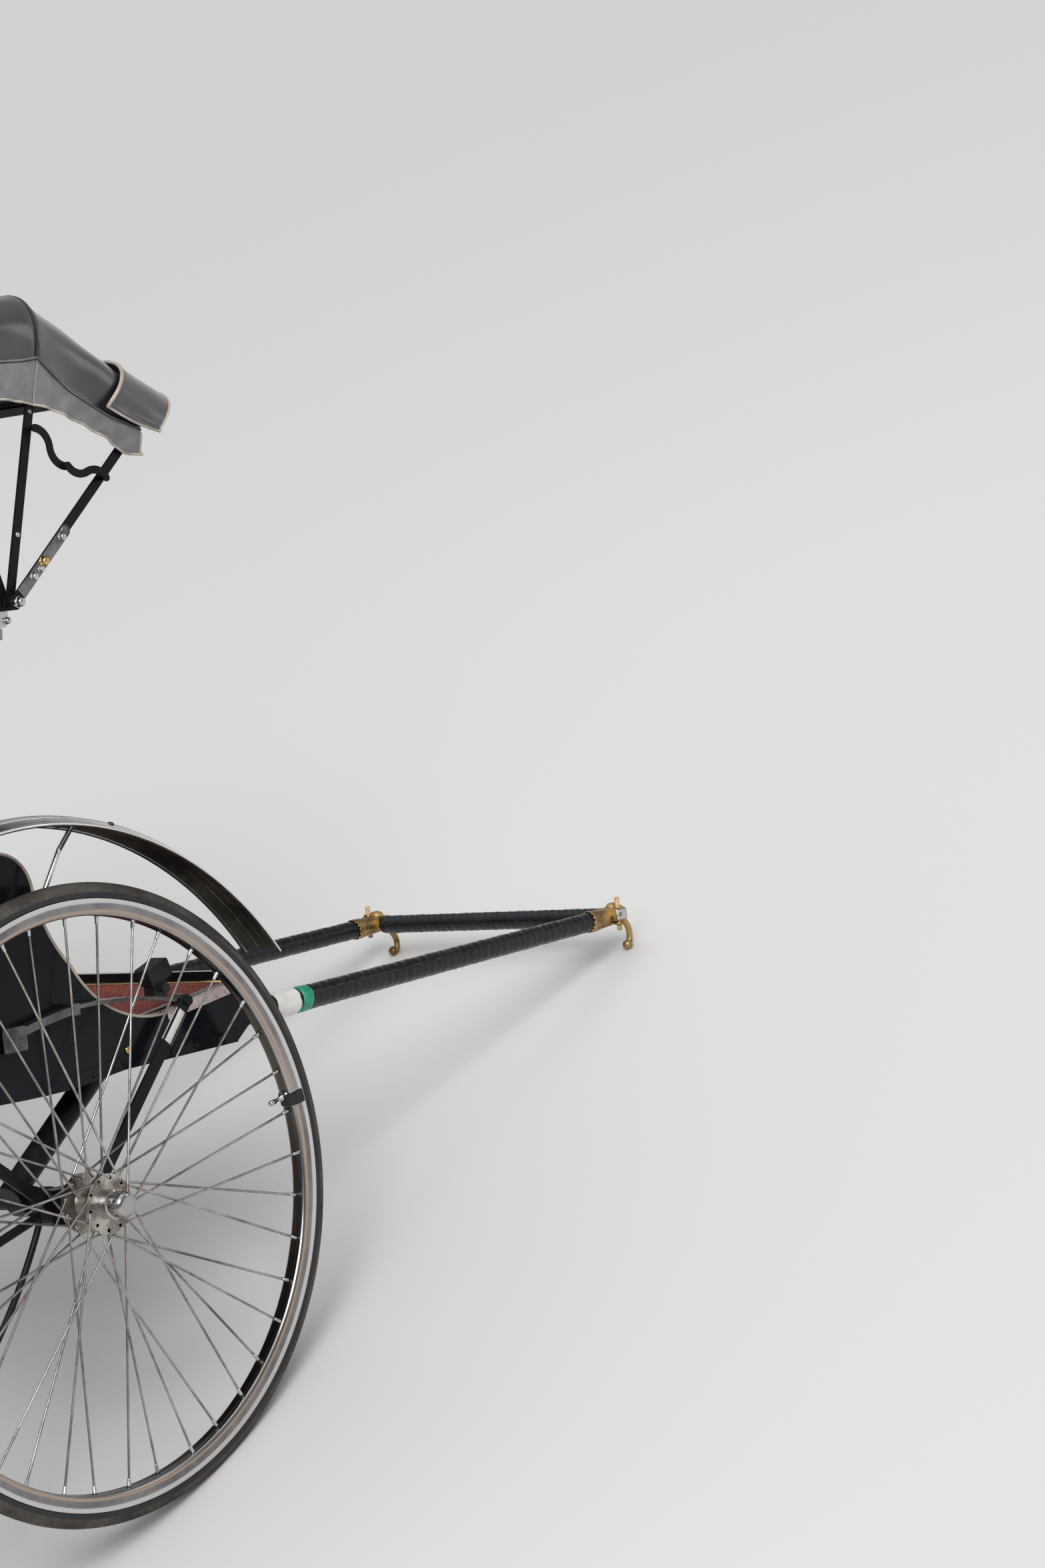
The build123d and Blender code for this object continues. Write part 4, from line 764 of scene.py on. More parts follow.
# %% Carpet
def make_carpet():
    """Cells a few millimetres wide, each with its own tone, bumped as rounded tufts."""
    material, tree, shader, spot = begin("carpet_pile")
    tufts = add(tree, "TexVoronoi", {"Vector": spot, "Scale": 330.0}, feature="F1").outputs
    fleck = ramp(tree, add(tree, "SeparateXYZ", {0: tufts["Color"]}).outputs["X"], 0.55, 0.80)
    base = place(tree, tone_group, Vector=spot, Scale=12.0, Dark=(0.22, 0.040, 0.032), Light=(0.38, 0.088, 0.070),
                 Spread=0.7)
    colour = mixed(tree, times(tree, fleck, 0.6), base["Colour"], (0.52, 0.25, 0.20))
    worn = times(tree, ramp(tree, noise(tree, spot, 5.0, 2.0), 0.5, 0.75), 0.2)
    height = math_node(tree, "SUBTRACT", 1.0, times(tree, tufts["Distance"], 1.6))
    feed(tree, shader, {"Base Color": mixed(tree, worn, colour, (0.26, 0.13, 0.10)), "Roughness": 0.95,
                        "Specular IOR Level": 0.15, "Normal": bumped(tree, height, 0.9, 0.0025)})
    return material


carpet_pile = make_carpet()

# %% [markdown]
# Electrician's tape is glossy vinyl laid in overlapping turns. The ridges are in the mesh; the
# material adds what the hand leaves: stretched wrinkles across the turns, and grey where the
# gloss has rubbed off.

# %% Wrapped tape
def make_tape():
    """Glossy black with wrinkle bump stretched round the shaft, and rubbed dull patches."""
    material, tree, shader, spot = begin("shaft_tape")
    tone = place(tree, tone_group, Vector=spot, Scale=18.0, Dark=(0.002, 0.0025, 0.004),
                 Light=(0.006, 0.007, 0.010), Spread=0.8)
    rubbed = place(tree, scuff_group, Vector=spot, Scale=34.0, Amount=0.25)["Mask"]
    pulled = add(tree, "Mapping", {"Vector": strip_uv(tree), "Scale": (1.0, 0.35, 1.0),
                                   "Rotation": (0, 0, 0.35)}).outputs[0]
    feed(tree, shader, {"Base Color": mixed(tree, rubbed, tone["Colour"], (0.10, 0.10, 0.11)),
                        "Roughness": between(tree, tone["Value"], 0.16, 0.34), "Coat Weight": 0.15,
                        "Coat Roughness": 0.08, "Specular IOR Level": 0.28,
                        "Normal": bumped(tree, noise(tree, pulled, 75.0, 5.0, 0.65), 0.40, 0.002)})
    return material


shaft_tape = make_tape()

# %% [markdown]
# The hood is black leathercloth with a gloss: where it faces the sky it mirrors grey, and its
# folds are nearly black. The valance is the same cloth, given a pale grey base colour that is
# painted sheen. The seats are deep red. All share the leather grain with their own tones.

# %% Leathercloths
def make_leathercloth(name, dark, light, roughness, creasing=0.35, dust=0.25, sheen=0.3,
                      dust_tone=(0.30, 0.28, 0.27), grain_bump=0.35, coat=0.0):
    """Tone, painted shade in the grain's creases, and dust, with the grain as bump; the sheen is the cloth's nap of
    wear.
    """
    material, tree, shader, spot = begin(name)
    tone = place(tree, tone_group, Vector=spot, Scale=4.5, Dark=dark, Light=light, Spread=0.7)
    grain = place(tree, grain_group, Vector=spot, Scale=650.0, Creasing=creasing)
    # Painted shade: the grain's creases are mixed towards a darker tone.
    colour = mixed(tree, grain["Crease"], tone["Colour"], tuple(c * 0.55 for c in dark))
    film = place(tree, dust_group, Vector=spot, Scale=6.0, Amount=dust)["Mask"]
    feed(tree, shader, {"Base Color": mixed(tree, film, colour, dust_tone),
                        "Roughness": between(tree, tone["Value"], *roughness), "Sheen Weight": sheen,
                        "Sheen Roughness": 0.4, "Coat Weight": coat, "Coat Roughness": 0.20, "Coat IOR": 1.7,
                        "Normal": bumped(tree, grain["Height"], grain_bump, 0.0008)})
    return material


hood_cloth = make_leathercloth("hood_leathercloth", (0.008, 0.010, 0.013), (0.027, 0.028, 0.032), (0.24, 0.34),
                               creasing=0.25, dust=0.06, sheen=0.04, dust_tone=(0.16, 0.155, 0.16),
                               grain_bump=0.25, coat=0.9)
# The valance's pale grey base colour is painted sheen on the same cloth as the hood.
valance_cloth_painted_sheen = make_leathercloth("valance_leathercloth_painted_sheen", (0.100, 0.096, 0.102), (0.190, 0.182, 0.188),
                                  (0.34, 0.46), creasing=0.25, dust=0.12, sheen=0.2, coat=0.35)
lining_cloth = make_leathercloth("hood_lining", (0.016, 0.016, 0.019), (0.032, 0.031, 0.034), (0.60, 0.75),
                                 creasing=0.2, dust=0.05, sheen=0.1)
seat_leather = make_leathercloth("seat_leathercloth", (0.115, 0.012, 0.014), (0.235, 0.028, 0.026), (0.32, 0.45),
                                 dust=0.08, sheen=0.2, dust_tone=(0.30, 0.16, 0.14))
seat_piping = make_leathercloth("seat_piping", (0.070, 0.008, 0.009), (0.12, 0.014, 0.014), (0.36, 0.5), dust=0.05)

# %% [markdown]
# The frame's own nodes keep their meshes and take these finishes in their material slots. Cloth,
# padding, tyres and rims get pieces of their own later.

# %% Finishes for the frame's nodes
paired_finishes = [
    (fender_steel, "fender"), (lacquer, "side_panel"), (black_paint, "axle_stay"), (black_paint, "prop_leg"),
    (black_paint, "shaft"), (spring_steel, "spring"), (brass, "shaft_tip"), (bright_chrome, "hood_arm"),
    (bow_paint, "hood_strut_front"), (bow_paint, "hood_strut_rear"), (tyre_rubber, "tyre"), (seat_leather, "arm_pad")]
finish_of = {f"{name}_{side}": finish for finish, name in paired_finishes for side, sign in both_sides}
finish_of |= {f"hub_{side}": spoke_metal[side] for side, sign in both_sides}
finish_of |= {f"hub_bearing_{side}": cap_metal[side] for side, sign in both_sides}
finish_of |= {f"hood_bow_{name}": bow_paint for name in ("rear", "third", "second", "front")}
finish_of |= {"axle": black_paint, "cross_bar": black_paint, "floor_board": floor_paint, "seat_box": floor_paint,
              "toe_board": lacquer, "rear_panel": lacquer, "back_board": lacquer, "floor_carpet": carpet_pile,
              "push_bar": bright_chrome, "lamp_clamp": black_plastic,
              "seat_cushion": seat_leather, "back_cushion": seat_leather}
finish_of |= {f"hood_{name}": hood_cloth for name in ("cover_front", "cover_middle", "cover_rear", "curtain", "visor")}
for name, finish in finish_of.items():
    for slot_of in nodes[name].material_slots:
        slot_of.material = finish
print("finishes made:", len(bpy.data.materials))

# %% [markdown]
# A narrow tyre is a ring with a round section. Its tread is finely knurled, which shows as a saw
# edge against the light, so the knurl has to be in the mesh: the radius is raised and lowered
# like a chequerboard as one goes round the wheel and across the tread.

# %% Tyres
tyre_section = 0.038
knurl_depth = 0.0017


def tyre_shell(wheel_y, turns=1152, section=25):
    """Centre line of the ring, plus the section's radius x (cos, sin), less the knurl where turn + row is odd."""
    turn = np.linspace(0, 2 * np.pi, turns, endpoint=False)
    row = np.arange(section)
    angle = (row / section - 0.5) * 2 * np.pi
    on_tread = np.clip((tread_share * np.pi - np.abs(angle)) * 4, 0, 1)
    odd = (np.arange(turns)[:, None] + row) % 2
    small = tyre_section / 2 - knurl_depth * odd * on_tread
    shoulder = 1 - 0.04 * np.cos(2 * angle) * (1 - on_tread)
    out = wheel_radius - tyre_section / 2 + small * np.cos(angle) * shoulder
    side = wheel_y + small * np.sin(angle)
    points = np.stack([axle_x + out * np.cos(turn)[:, None], side + 0 * out, axle_z + out * np.sin(turn)[:, None]], -1)
    return shell(points, wrap_rows=True, wrap_columns=True, uv_size=(2 * np.pi * wheel_radius, 1.0))


for side, y in wheel_sides:
    tyre = make_piece(f"knurled_tyre_{side}", [tyre_shell(y)], [tyre_rubber], f"wheel_{side}")
    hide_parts(f"tyre_{side}")

# %% [markdown]
# The rim is rolled from one strip: a bed for the nipples, sides that swell a little and two round
# lips that hold the tyre. Round sides are what gives chrome its long dark and light lines, so the
# ring is made here with a round section, inside the place of the CAD's flat-sided one.

# %% Rims
rim_section = [(0.0, 0.4931), (0.0045, 0.4928), (0.0085, 0.4921), (0.0118, 0.4924), (0.0148, 0.4950), (0.0168, 0.4995),
               (0.0176, 0.5060), (0.0172, 0.5130), (0.0178, 0.5172), (0.0191, 0.5200), (0.0186, 0.5222),
               (0.0170, 0.5225), (0.0159, 0.5205), (0.0156, 0.5170), (0.0154, 0.5110), (0.0150, 0.5045),
               (0.0132, 0.4985), (0.0095, 0.4962), (0.0, 0.4958)]


def rim_shell(side_y, turns=200, section=60):
    """The section, mirrored and closed, at (radius x cos, across, radius x sin) for each turn about the axle."""
    half = np.array([(across, radius, 0.0) for across, radius in rim_section])
    outline = np.concatenate([half[::-1] * [-1, 1, 1], half[1:]])
    outline = evenly(curve_through(outline, 600), section + 1)[:-1]
    turn = np.linspace(0, 2 * np.pi, turns, endpoint=False)[:, None]
    across, reach = outline[:, 0], outline[:, 1]
    level = np.stack([reach * np.cos(turn), side_y + across + 0 * turn, reach * np.sin(turn)], -1)
    return shell(parked(level), wrap_rows=True, wrap_columns=True, uv_size=(2 * np.pi * 0.5, 1.0))


for side, y in wheel_sides:
    rim = make_piece(f"chrome_rim_{side}", [rim_shell(y)], [rim_metal[side]], f"wheel_{side}")
    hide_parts(f"rim_{side}")

# %% [markdown]
# A mudguard ends in a rolled lip, which is what the eye reads as the sheet's thickness, and a
# domed rivet near each end holds its rod. The axle stay in front carries a turn of white tape.

# %% Mudguard ends and taped stay
def fender_point(side_y, degrees, across):
    """A point of the mudguard's outer face, whose cross section is an arc with a radius of 73 mm."""
    radius = 0.693 - 0.073 + np.sqrt(0.073**2 - np.square(across))
    a = math.radians(degrees)
    return parked(np.stack([-0.090 + radius * math.cos(a), side_y + across, -0.020 + radius * math.sin(a)], -1))


for side, sign in both_sides:
    shells = []
    across = np.linspace(-0.0425, 0.0425, 17)
    for degrees in (35.1, 157.9):
        shells.append(tube(fender_point(sign * wheel_side, degrees, across), 0.0026, 8, (0.6, 0, 0.8)))
    for degrees in (72.8, 118.0):
        a = math.radians(degrees)
        outward = turned([0.96 * math.cos(a), 0.274 * sign, 0.96 * math.sin(a)])
        shells += bolts([fender_point(sign * wheel_side, degrees, np.array(sign * 0.020))], outward, 0.0058, 0.0040)
    make_piece(f"mudguard_trim_{side}", shells, [spring_steel], "carriage")
    top, foot = np.array([0.3045, 0.2869]), np.array([0.2600, 0.2376])
    line = top + np.linspace(0, 1, 8)[:, None] * (foot - top)
    taped = parked(np.stack([line[:, 0], np.full(8, sign * 0.4523), line[:, 1]], -1))
    make_piece(f"stay_tape_{side}", [bar(taped, (0, 1, 0), 0.0086, 0.0250)], [white_tape], "carriage")

# %% [markdown]
# Each spoke ends in a nipple in the rim's bed, and one place on the rim carries the valve with
# its nut and a turn of black tape. They are small, but the eye looks for them on a wheel, and
# forty nipples are one turned profile repeated round the axle.

# %% Nipples, valves and rim tape
spoke_count = 40
rim_bed_radius = 0.4920
valve_angle, tape_angle, tape_span = (math.radians(v) for v in (12.3, 11.4, 2.6))
nipple_profile = [(-0.001, 0.0), (-0.001, 0.0042), (0.002, 0.0045), (0.004, 0.0036), (0.013, 0.0033), (0.0145, 0.0027),
                  (0.0145, 0.0)]


def rim_place(side_y, angle, radius, across=0.0):
    """A point of the wheel, by angle, distance from the axle and offset across the rim, in the parked frame."""
    c, s = math.cos(angle), math.sin(angle)
    return parked([radius * c, side_y + across, radius * s])


def spoke_leads(index):
    """Which flange a spoke hangs on and which way it leads; the second changes every two spokes."""
    return (1 if index % 2 else -1), (1 if index // 2 % 2 else -1)


def spoke_line(side_y, index, stagger=0.0026, head=0.004, flange=0.030, foot_radius=0.045):
    """Head and foot of one spoke, by the same turns that laced the wheel: sides and leads alternate."""
    angle = 2 * math.pi / spoke_count * index
    outer, turn = spoke_leads(index)
    top = rim_place(side_y, angle, rim_bed_radius, outer * head + turn * stagger)
    foot = rim_place(side_y, angle + turn * math.radians(62), foot_radius, outer * flange + turn * stagger)
    return top, foot


def wheel_fittings(side_y):
    """Forty nipples, forty spoke heads on the flanges, and a valve with two nuts."""
    shells = []
    for index in range(spoke_count):
        top, foot = spoke_line(side_y, index)
        shells.append(turned_shape(nipple_profile, top, unit(foot - top), 10))
        outer, turn = spoke_leads(index)
        seat = foot * [1, 0, 1] + [0, side_y + outer * (0.030 + 0.003 * turn), 0]
        shells += bolts([seat], (0, turn, 0), 0.0036, 0.0024, 8)
    inward = -unit(rim_place(side_y, valve_angle, 1.0) - rim_place(side_y, valve_angle, 0.5))
    stem_foot = rim_place(side_y, valve_angle, rim_bed_radius + 0.002)
    stem = [(0, 0), (0, 0.0085), (0.003, 0.0085), (0.0035, 0.0042), (0.010, 0.0042), (0.010, 0.0066), (0.0135, 0.0066),
            (0.014, 0.0038), (0.030, 0.0036), (0.030, 0.0052), (0.041, 0.0050), (0.043, 0.0036), (0.043, 0.0)]
    shells.append(turned_shape(stem, stem_foot, inward, 14))
    return shells


def rim_band(side_y, middle, span, thickness=0.0016):
    """A strip of tape round the rim's section, over a short arc: the section's outline times the arc's angle."""
    half, bed, shoulder, outer = 0.0200, 0.4905, 0.499, 0.519
    outline = np.array([(-half, outer), (-half, shoulder), (-0.012, bed),
                        (0.012, bed), (half, shoulder), (half, outer)])
    inner = (outline - [0, thickness]) * [0.97, 1]
    outline = np.concatenate([inner, outline[::-1]])
    angle = np.linspace(middle - span / 2, middle + span / 2, 9)
    c, s = np.cos(angle)[:, None], np.sin(angle)[:, None]
    level = np.stack([outline[:, 1] * c, side_y + outline[:, 0] + 0 * c, outline[:, 1] * s], -1)
    return shell(parked(level), wrap_columns=True, finish=1)


for side, y in wheel_sides:
    shells = wheel_fittings(y) + [rim_band(y, tape_angle, tape_span)]
    make_piece(f"wheel_fittings_{side}", shells, [bright_chrome, black_plastic], f"wheel_{side}")

# %% [markdown]
# The side panels' edges are finished by hand on a vehicle like this: a cream cord is tacked
# along the curved front edge, a pale metal strip with dome nails covers the edge of the foot
# board, and a steel angle is bolted along the bottom. The outline is the panel's own, so the
# trims follow the same lines and three-point arcs as the board does.

# %% Trims of the side panels
def arc_through(start, middle, end, count=16):
    """Points of the circle through three points: its centre is where two chords' bisectors meet."""
    a, b, c = (np.array(p, float) for p in (start, middle, end))
    rows = 2 * np.array([b - a, c - a])
    centre = np.linalg.solve(rows, np.array([b @ b - a @ a, c @ c - a @ a]))
    angles = np.unwrap([math.atan2(*(p - centre)[::-1]) for p in (a, b, c)])
    sweep = np.linspace(angles[0], angles[2], count)
    radius = np.linalg.norm(a - centre)
    return centre + radius * np.stack([np.cos(sweep), np.sin(sweep)], -1)


def level_line(flat_points, y):
    """Points of a side view, x and z in millimetres, at one y in metres, carried into the parked frame."""
    p = np.asarray(flat_points, float) / 1000
    return parked(np.stack([p[:, 0], np.full(len(p), y), p[:, 1]], -1))


toe_top, strip_rear = (522, 318), (300, 285)
well = arc_through(strip_rear, (160, 318), (85, 398), 22)
seat_rise_line = arc_through((85, 398), (38, 468), (16, 536), 14)
arm_bend_line = arc_through((16, 536), (0, 582), (-42, 610), 12)
panel_front_edge = np.concatenate([well, seat_rise_line[1:], arm_bend_line[1:], [(-58, 614.5)]])
wing_line = arc_through((-250, 668), (-366, 752), (-418, 900), 24)
panel_rear_edge = np.concatenate([[(-205, 657), (-250, 668)], wing_line[1:],
                                  [(-424, 950), (-428, 957), (-470, 957)]])
body_half, panel_thickness = 0.420, 0.018


def panel_trim(sign):
    """Piping tubes on the outer and inner corner of the edge, and the nailed strip over the foot board's edge."""
    shells = []
    for y in (sign * (body_half + 0.0008), sign * (body_half - panel_thickness - 0.0008)):
        for edge in (panel_front_edge, panel_rear_edge):
            path = evenly(level_line(edge, y), 110)
            shells.append(tube(path, 0.0027, 10, finish=0))
    slope = unit(np.array([toe_top[0] - strip_rear[0], 0, toe_top[1] - strip_rear[1]], float))
    lift = np.array([-slope[2], 0, slope[0]])
    ends = np.array([strip_rear, toe_top], float)
    middle = level_line(ends, sign * (body_half - panel_thickness / 2)) + turned(lift) * 0.0013
    path = np.linspace(middle[0], middle[1], 24)
    shells.append(bar(path, (0, 1, 0), 0.0225, 0.0026, finish=1))
    face = level_line(ends, sign * (body_half + 0.0012)) - turned(lift) * 0.0068
    shells.append(bar(np.linspace(face[0], face[1], 24), turned(lift), 0.0150, 0.0024, finish=1))
    nails = np.linspace(face[0], face[1], 10)[1:-1] + np.array([0, sign * 0.0010, 0])
    shells += bolts(nails, (0, sign, 0), 0.0040, 0.0028, 10, finish=2)
    top_nails = np.linspace(middle[0], middle[1], 8)[1:-1] + turned(lift) * 0.0012
    shells += bolts(top_nails, turned(lift), 0.0040, 0.0026, 10, finish=2)
    return shells


def sill_bolts(sign):
    """Small domed bolts along the steel strip on the panel's lower edge, and one brass bolt above them."""
    line = [(60, 199), (110, 204), (160, 210.5), (182, 213), (240, 214), (300, 215), (360, 216), (420, 217.3)]
    row = level_line(line, sign * (body_half + 0.003))
    shells = bolts(row, (0, sign, 0), 0.0052, 0.0040, 6, finish=0)
    lone = level_line([(196, 234)], sign * body_half)
    shells += bolts(lone, (0, sign, 0), 0.0075, 0.0055, 14, finish=1)
    return shells


for side, sign in both_sides:
    make_piece(f"panel_trim_{side}", panel_trim(sign), [cream_piping, pale_strip, aluminium], "carriage")
    make_piece(f"panel_bolts_{side}", sill_bolts(sign), [black_paint, bright_brass], "carriage")

# %% [markdown]
# Inside the foot well a grey trim strip holds the carpet's edge on each side, and a brass nosing
# finishes its front. Both are thin folded metal, drawn as bars along the carpet's border.

# %% Carpet edging
floor_knee, carpet_rear, carpet_front = (170, 268), (22, 266.4), (494, 308.7)
carpet_thickness = 5.0


def carpet_edging():
    """Bars along both long edges, following the floor's knee, with screws; a wider bar across the front edge."""
    shells = []
    line = np.array([carpet_rear, floor_knee, carpet_front]) + [0, carpet_thickness + 0.6]
    for sign in (-1, 1):
        path = level_line(line, sign * (body_half - panel_thickness - 0.013))
        for start, end in ((0, 1), (1, 2)):
            run = np.linspace(path[start], path[end], 12)
            shells.append(bar(run, (0, 1, 0), 0.016, 0.0018, finish=0))
        heads = np.linspace(path[1], path[2], 7)[1:]
        shells += bolts(heads, turned([-0.13, 0, 0.99]), 0.0034, 0.0014, 10, finish=1)
    nose = level_line([(490, 308.2 + carpet_thickness + 0.7)], 0.0)[0]
    across = nose + np.linspace(-0.39, 0.39, 12)[:, None] * np.array([0, 1, 0])
    shells.append(bar(across, turned([1, 0, 0.126]), 0.020, 0.0020, finish=2))
    return shells


make_piece("carpet_edging", carpet_edging(), [trim_strip, aluminium, bright_brass], "carriage")

# %% [markdown]
# The folding hood is leathercloth stretched over four flat bows that turn on one pin. Each panel
# hangs between two bows, so it is worked out between two arches: the radius at every place of
# the arch is known at both bows, and the cloth runs straight between them, less a little sag and
# the soft folds that its weight makes. A felt pad on each bow's crest keeps the cloth off the iron.

# %% Arches of the hood
pivot_x, pivot_z = 0.020, 1.035
bow_inner_half, bow_step, bow_bar, cover_gap = body_half - 0.0015, 0.0105, 0.005, 0.0008
bow_corner, cover_lift, cloth_thickness, crest_pad = 0.105, 0.0034, 0.0022, 0.0065
crest_share, corner_share = 0.36, 0.62


def bow_half(place):
    """Half width inside the cloth over a bow, counted from the rear bow."""
    return bow_inner_half + place * bow_step + bow_bar + cover_gap


def smooth(x):
    """0 below 0, 1 above 1, and 3x squared less 2x cubed between."""
    x = np.clip(x, 0, 1)
    return x * x * (3 - 2 * x)


def arch(half, radius, depth, u):
    """Half an arch in its bow's plane: flat crest, quarter-circle corner, straight side; u from 0 to 1."""
    corner = np.clip((u - crest_share) / (corner_share - crest_share), 0, 1) * np.pi / 2
    down = np.clip((u - corner_share) / (1 - corner_share), 0, None)
    across = (half - bow_corner) * np.clip(u / crest_share, 0, 1) + bow_corner * np.sin(corner)
    height = radius - bow_corner * (1 - np.cos(corner)) - (depth - bow_corner) * down
    return across, height


def on_arch(edge, t, lift=0.0):
    """Points of a whole arch, right foot at t 0 and left foot at t 1, in the plane at the bow's angle."""
    angle, half, radius, depth = edge
    u = np.abs(2 * t - 1)
    padded = lift + crest_pad * (1 - smooth((u - 0.42) / 0.24))
    across, height = arch(half + lift, radius + cover_lift + padded, depth + padded, u)
    a = math.radians(angle)
    return np.stack([pivot_x + height * math.cos(a), across * np.sign(t - 0.5), pivot_z + height * math.sin(a)], -1)


def hood_points(rear, ahead, s, t, lift=0.0025, sag=0.008, folds=0.0, seed=0.0):
    """Straight from arch to arch, then inward by sag x 4s(1-s) and by long waves that die out at the bows."""
    start, end = on_arch(rear, t, lift), on_arch(ahead, t, lift)
    points = start + (end - start) * s[..., None]
    belly = np.clip(4 * s * (1 - s), 0, 1)
    u, side = np.abs(2 * t - 1), np.sign(t - 0.5)
    dip = sag * belly * (0.5 + 0.5 * np.clip(1 - np.abs(u - 0.48) / 0.45, 0, 1))
    wave = (np.sin(2 * np.pi * (2.1 * u + 0.7 * s * side) + seed) * 0.5
            + np.sin(2 * np.pi * (4.3 * u - 1.1 * s) + 2.1 * seed + side) * 0.3
            + np.sin(2 * np.pi * (1.2 * u + 2.2 * s) + 3.7 * seed) * 0.2)
    gutter = np.exp(-((u - 0.585 - 0.06 * s) / 0.050) ** 2) - 0.6 * np.exp(-((u - 0.50 - 0.06 * s) / 0.045) ** 2)
    dip = dip + folds * belly * (wave + 1.5 * gutter)
    inward = np.array([pivot_x, 0, pivot_z]) - points
    inward[..., 1] *= np.clip((u - 0.3) * 3, 0, 1)
    return points + unit(inward) * np.clip(dip, -0.003, None)[..., None]


def closed_sheet(outer, thickness, finishes=(0, 0), centre=(0, 0, 0)):
    """The outer grid and the same grid moved inward by its thickness, joined round all four edges."""
    normal = unit(np.cross(np.gradient(outer, axis=0), np.gradient(outer, axis=1)))
    if np.sum(normal * (outer - np.asarray(centre))) < 0:
        normal = -normal
    inner = outer - normal * thickness
    ring = np.concatenate([outer, inner[::-1]])
    edges = [(outer[:, k:k + 1 or None] + inner[:, k:k + 1 or None]) / 2 for k in (0, -1)]
    edges = [np.concatenate([e, e[::-1]]) for e in edges]
    ring = np.concatenate([edges[0], ring, edges[1]], axis=1)
    width, length = path_length(outer[:, outer.shape[1] // 2]), path_length(outer[outer.shape[0] // 2])
    points, faces, uv, finish = shell(ring, wrap_rows=True, uv_size=(2 * width, length))
    finish = finish.reshape(ring.shape[0], ring.shape[1] - 1)
    finish[:] = finishes[1]
    finish[: outer.shape[0] - 1] = finishes[0]
    return points, faces, uv, finish.ravel()


def as_frame(shells):
    """Shells that were worked out in the level drawing, carried into the parked frame."""
    return [(parked(s[0]), *s[1:]) for s in shells]


rear_edge = (140.0, bow_half(0), 0.556, 0.190)
third_edge = (107.0, bow_half(1), 0.558, 0.195)
second_edge = (74.0, bow_half(2), 0.545, 0.198)
front_edge_arch = (41.0, bow_half(3), 0.545, 0.175)
hood_heart = np.array([pivot_x, 0, pivot_z])

# %% [markdown]
# Stitches are one tiny rounded bar repeated. Each needs a place on the cloth, the direction of
# its row and the cloth's outward side, and all three come from the panel formula, sampled at
# equal steps along a line.

# %% Rows of stitches
stitch_bar = np.array([[(x, 0.00042 * w * math.cos(a), 0.00034 * w * math.sin(a) + 0.0002)
                        for a in np.linspace(0, 2 * np.pi, 6, endpoint=False)]
                       for x, w in ((-0.0022, 0.0), (-0.0019, 0.8), (0.0, 1.0), (0.0019, 0.8), (0.0022, 0.0))])


def stitch_row(line, outward, spacing=0.0072, finish=0):
    """Stitches at equal steps on a line, each along the line's tangent with its back to the cloth."""
    count = max(3, int(path_length(line) / spacing))
    places = evenly(line, count)
    steps = evenly(line + outward * 0.01, count) - places
    along = unit(np.gradient(places, axis=0))
    out = unit(steps - np.sum(steps * along, -1, keepdims=True) * along)
    return scattered(stitch_bar, places, along, np.cross(out, along), out, finish)


def outward_of(points):
    """Outward directions of hood cloth: away from the pivot's line, sideways on the flanks."""
    away = points - hood_heart
    away[..., 1] *= (np.abs(points[..., 1]) > 0.36) * 3.0
    return unit(away)


# %% [markdown]
# Above the side seam the cloth is one piece from flank to flank. Below it hangs a valance, cut
# separately so that it can swing; its paler grey is painted sheen. Its lower edge is bound with cream
# tape, rises a little between the bows, and on the front panel runs on past the front bow.

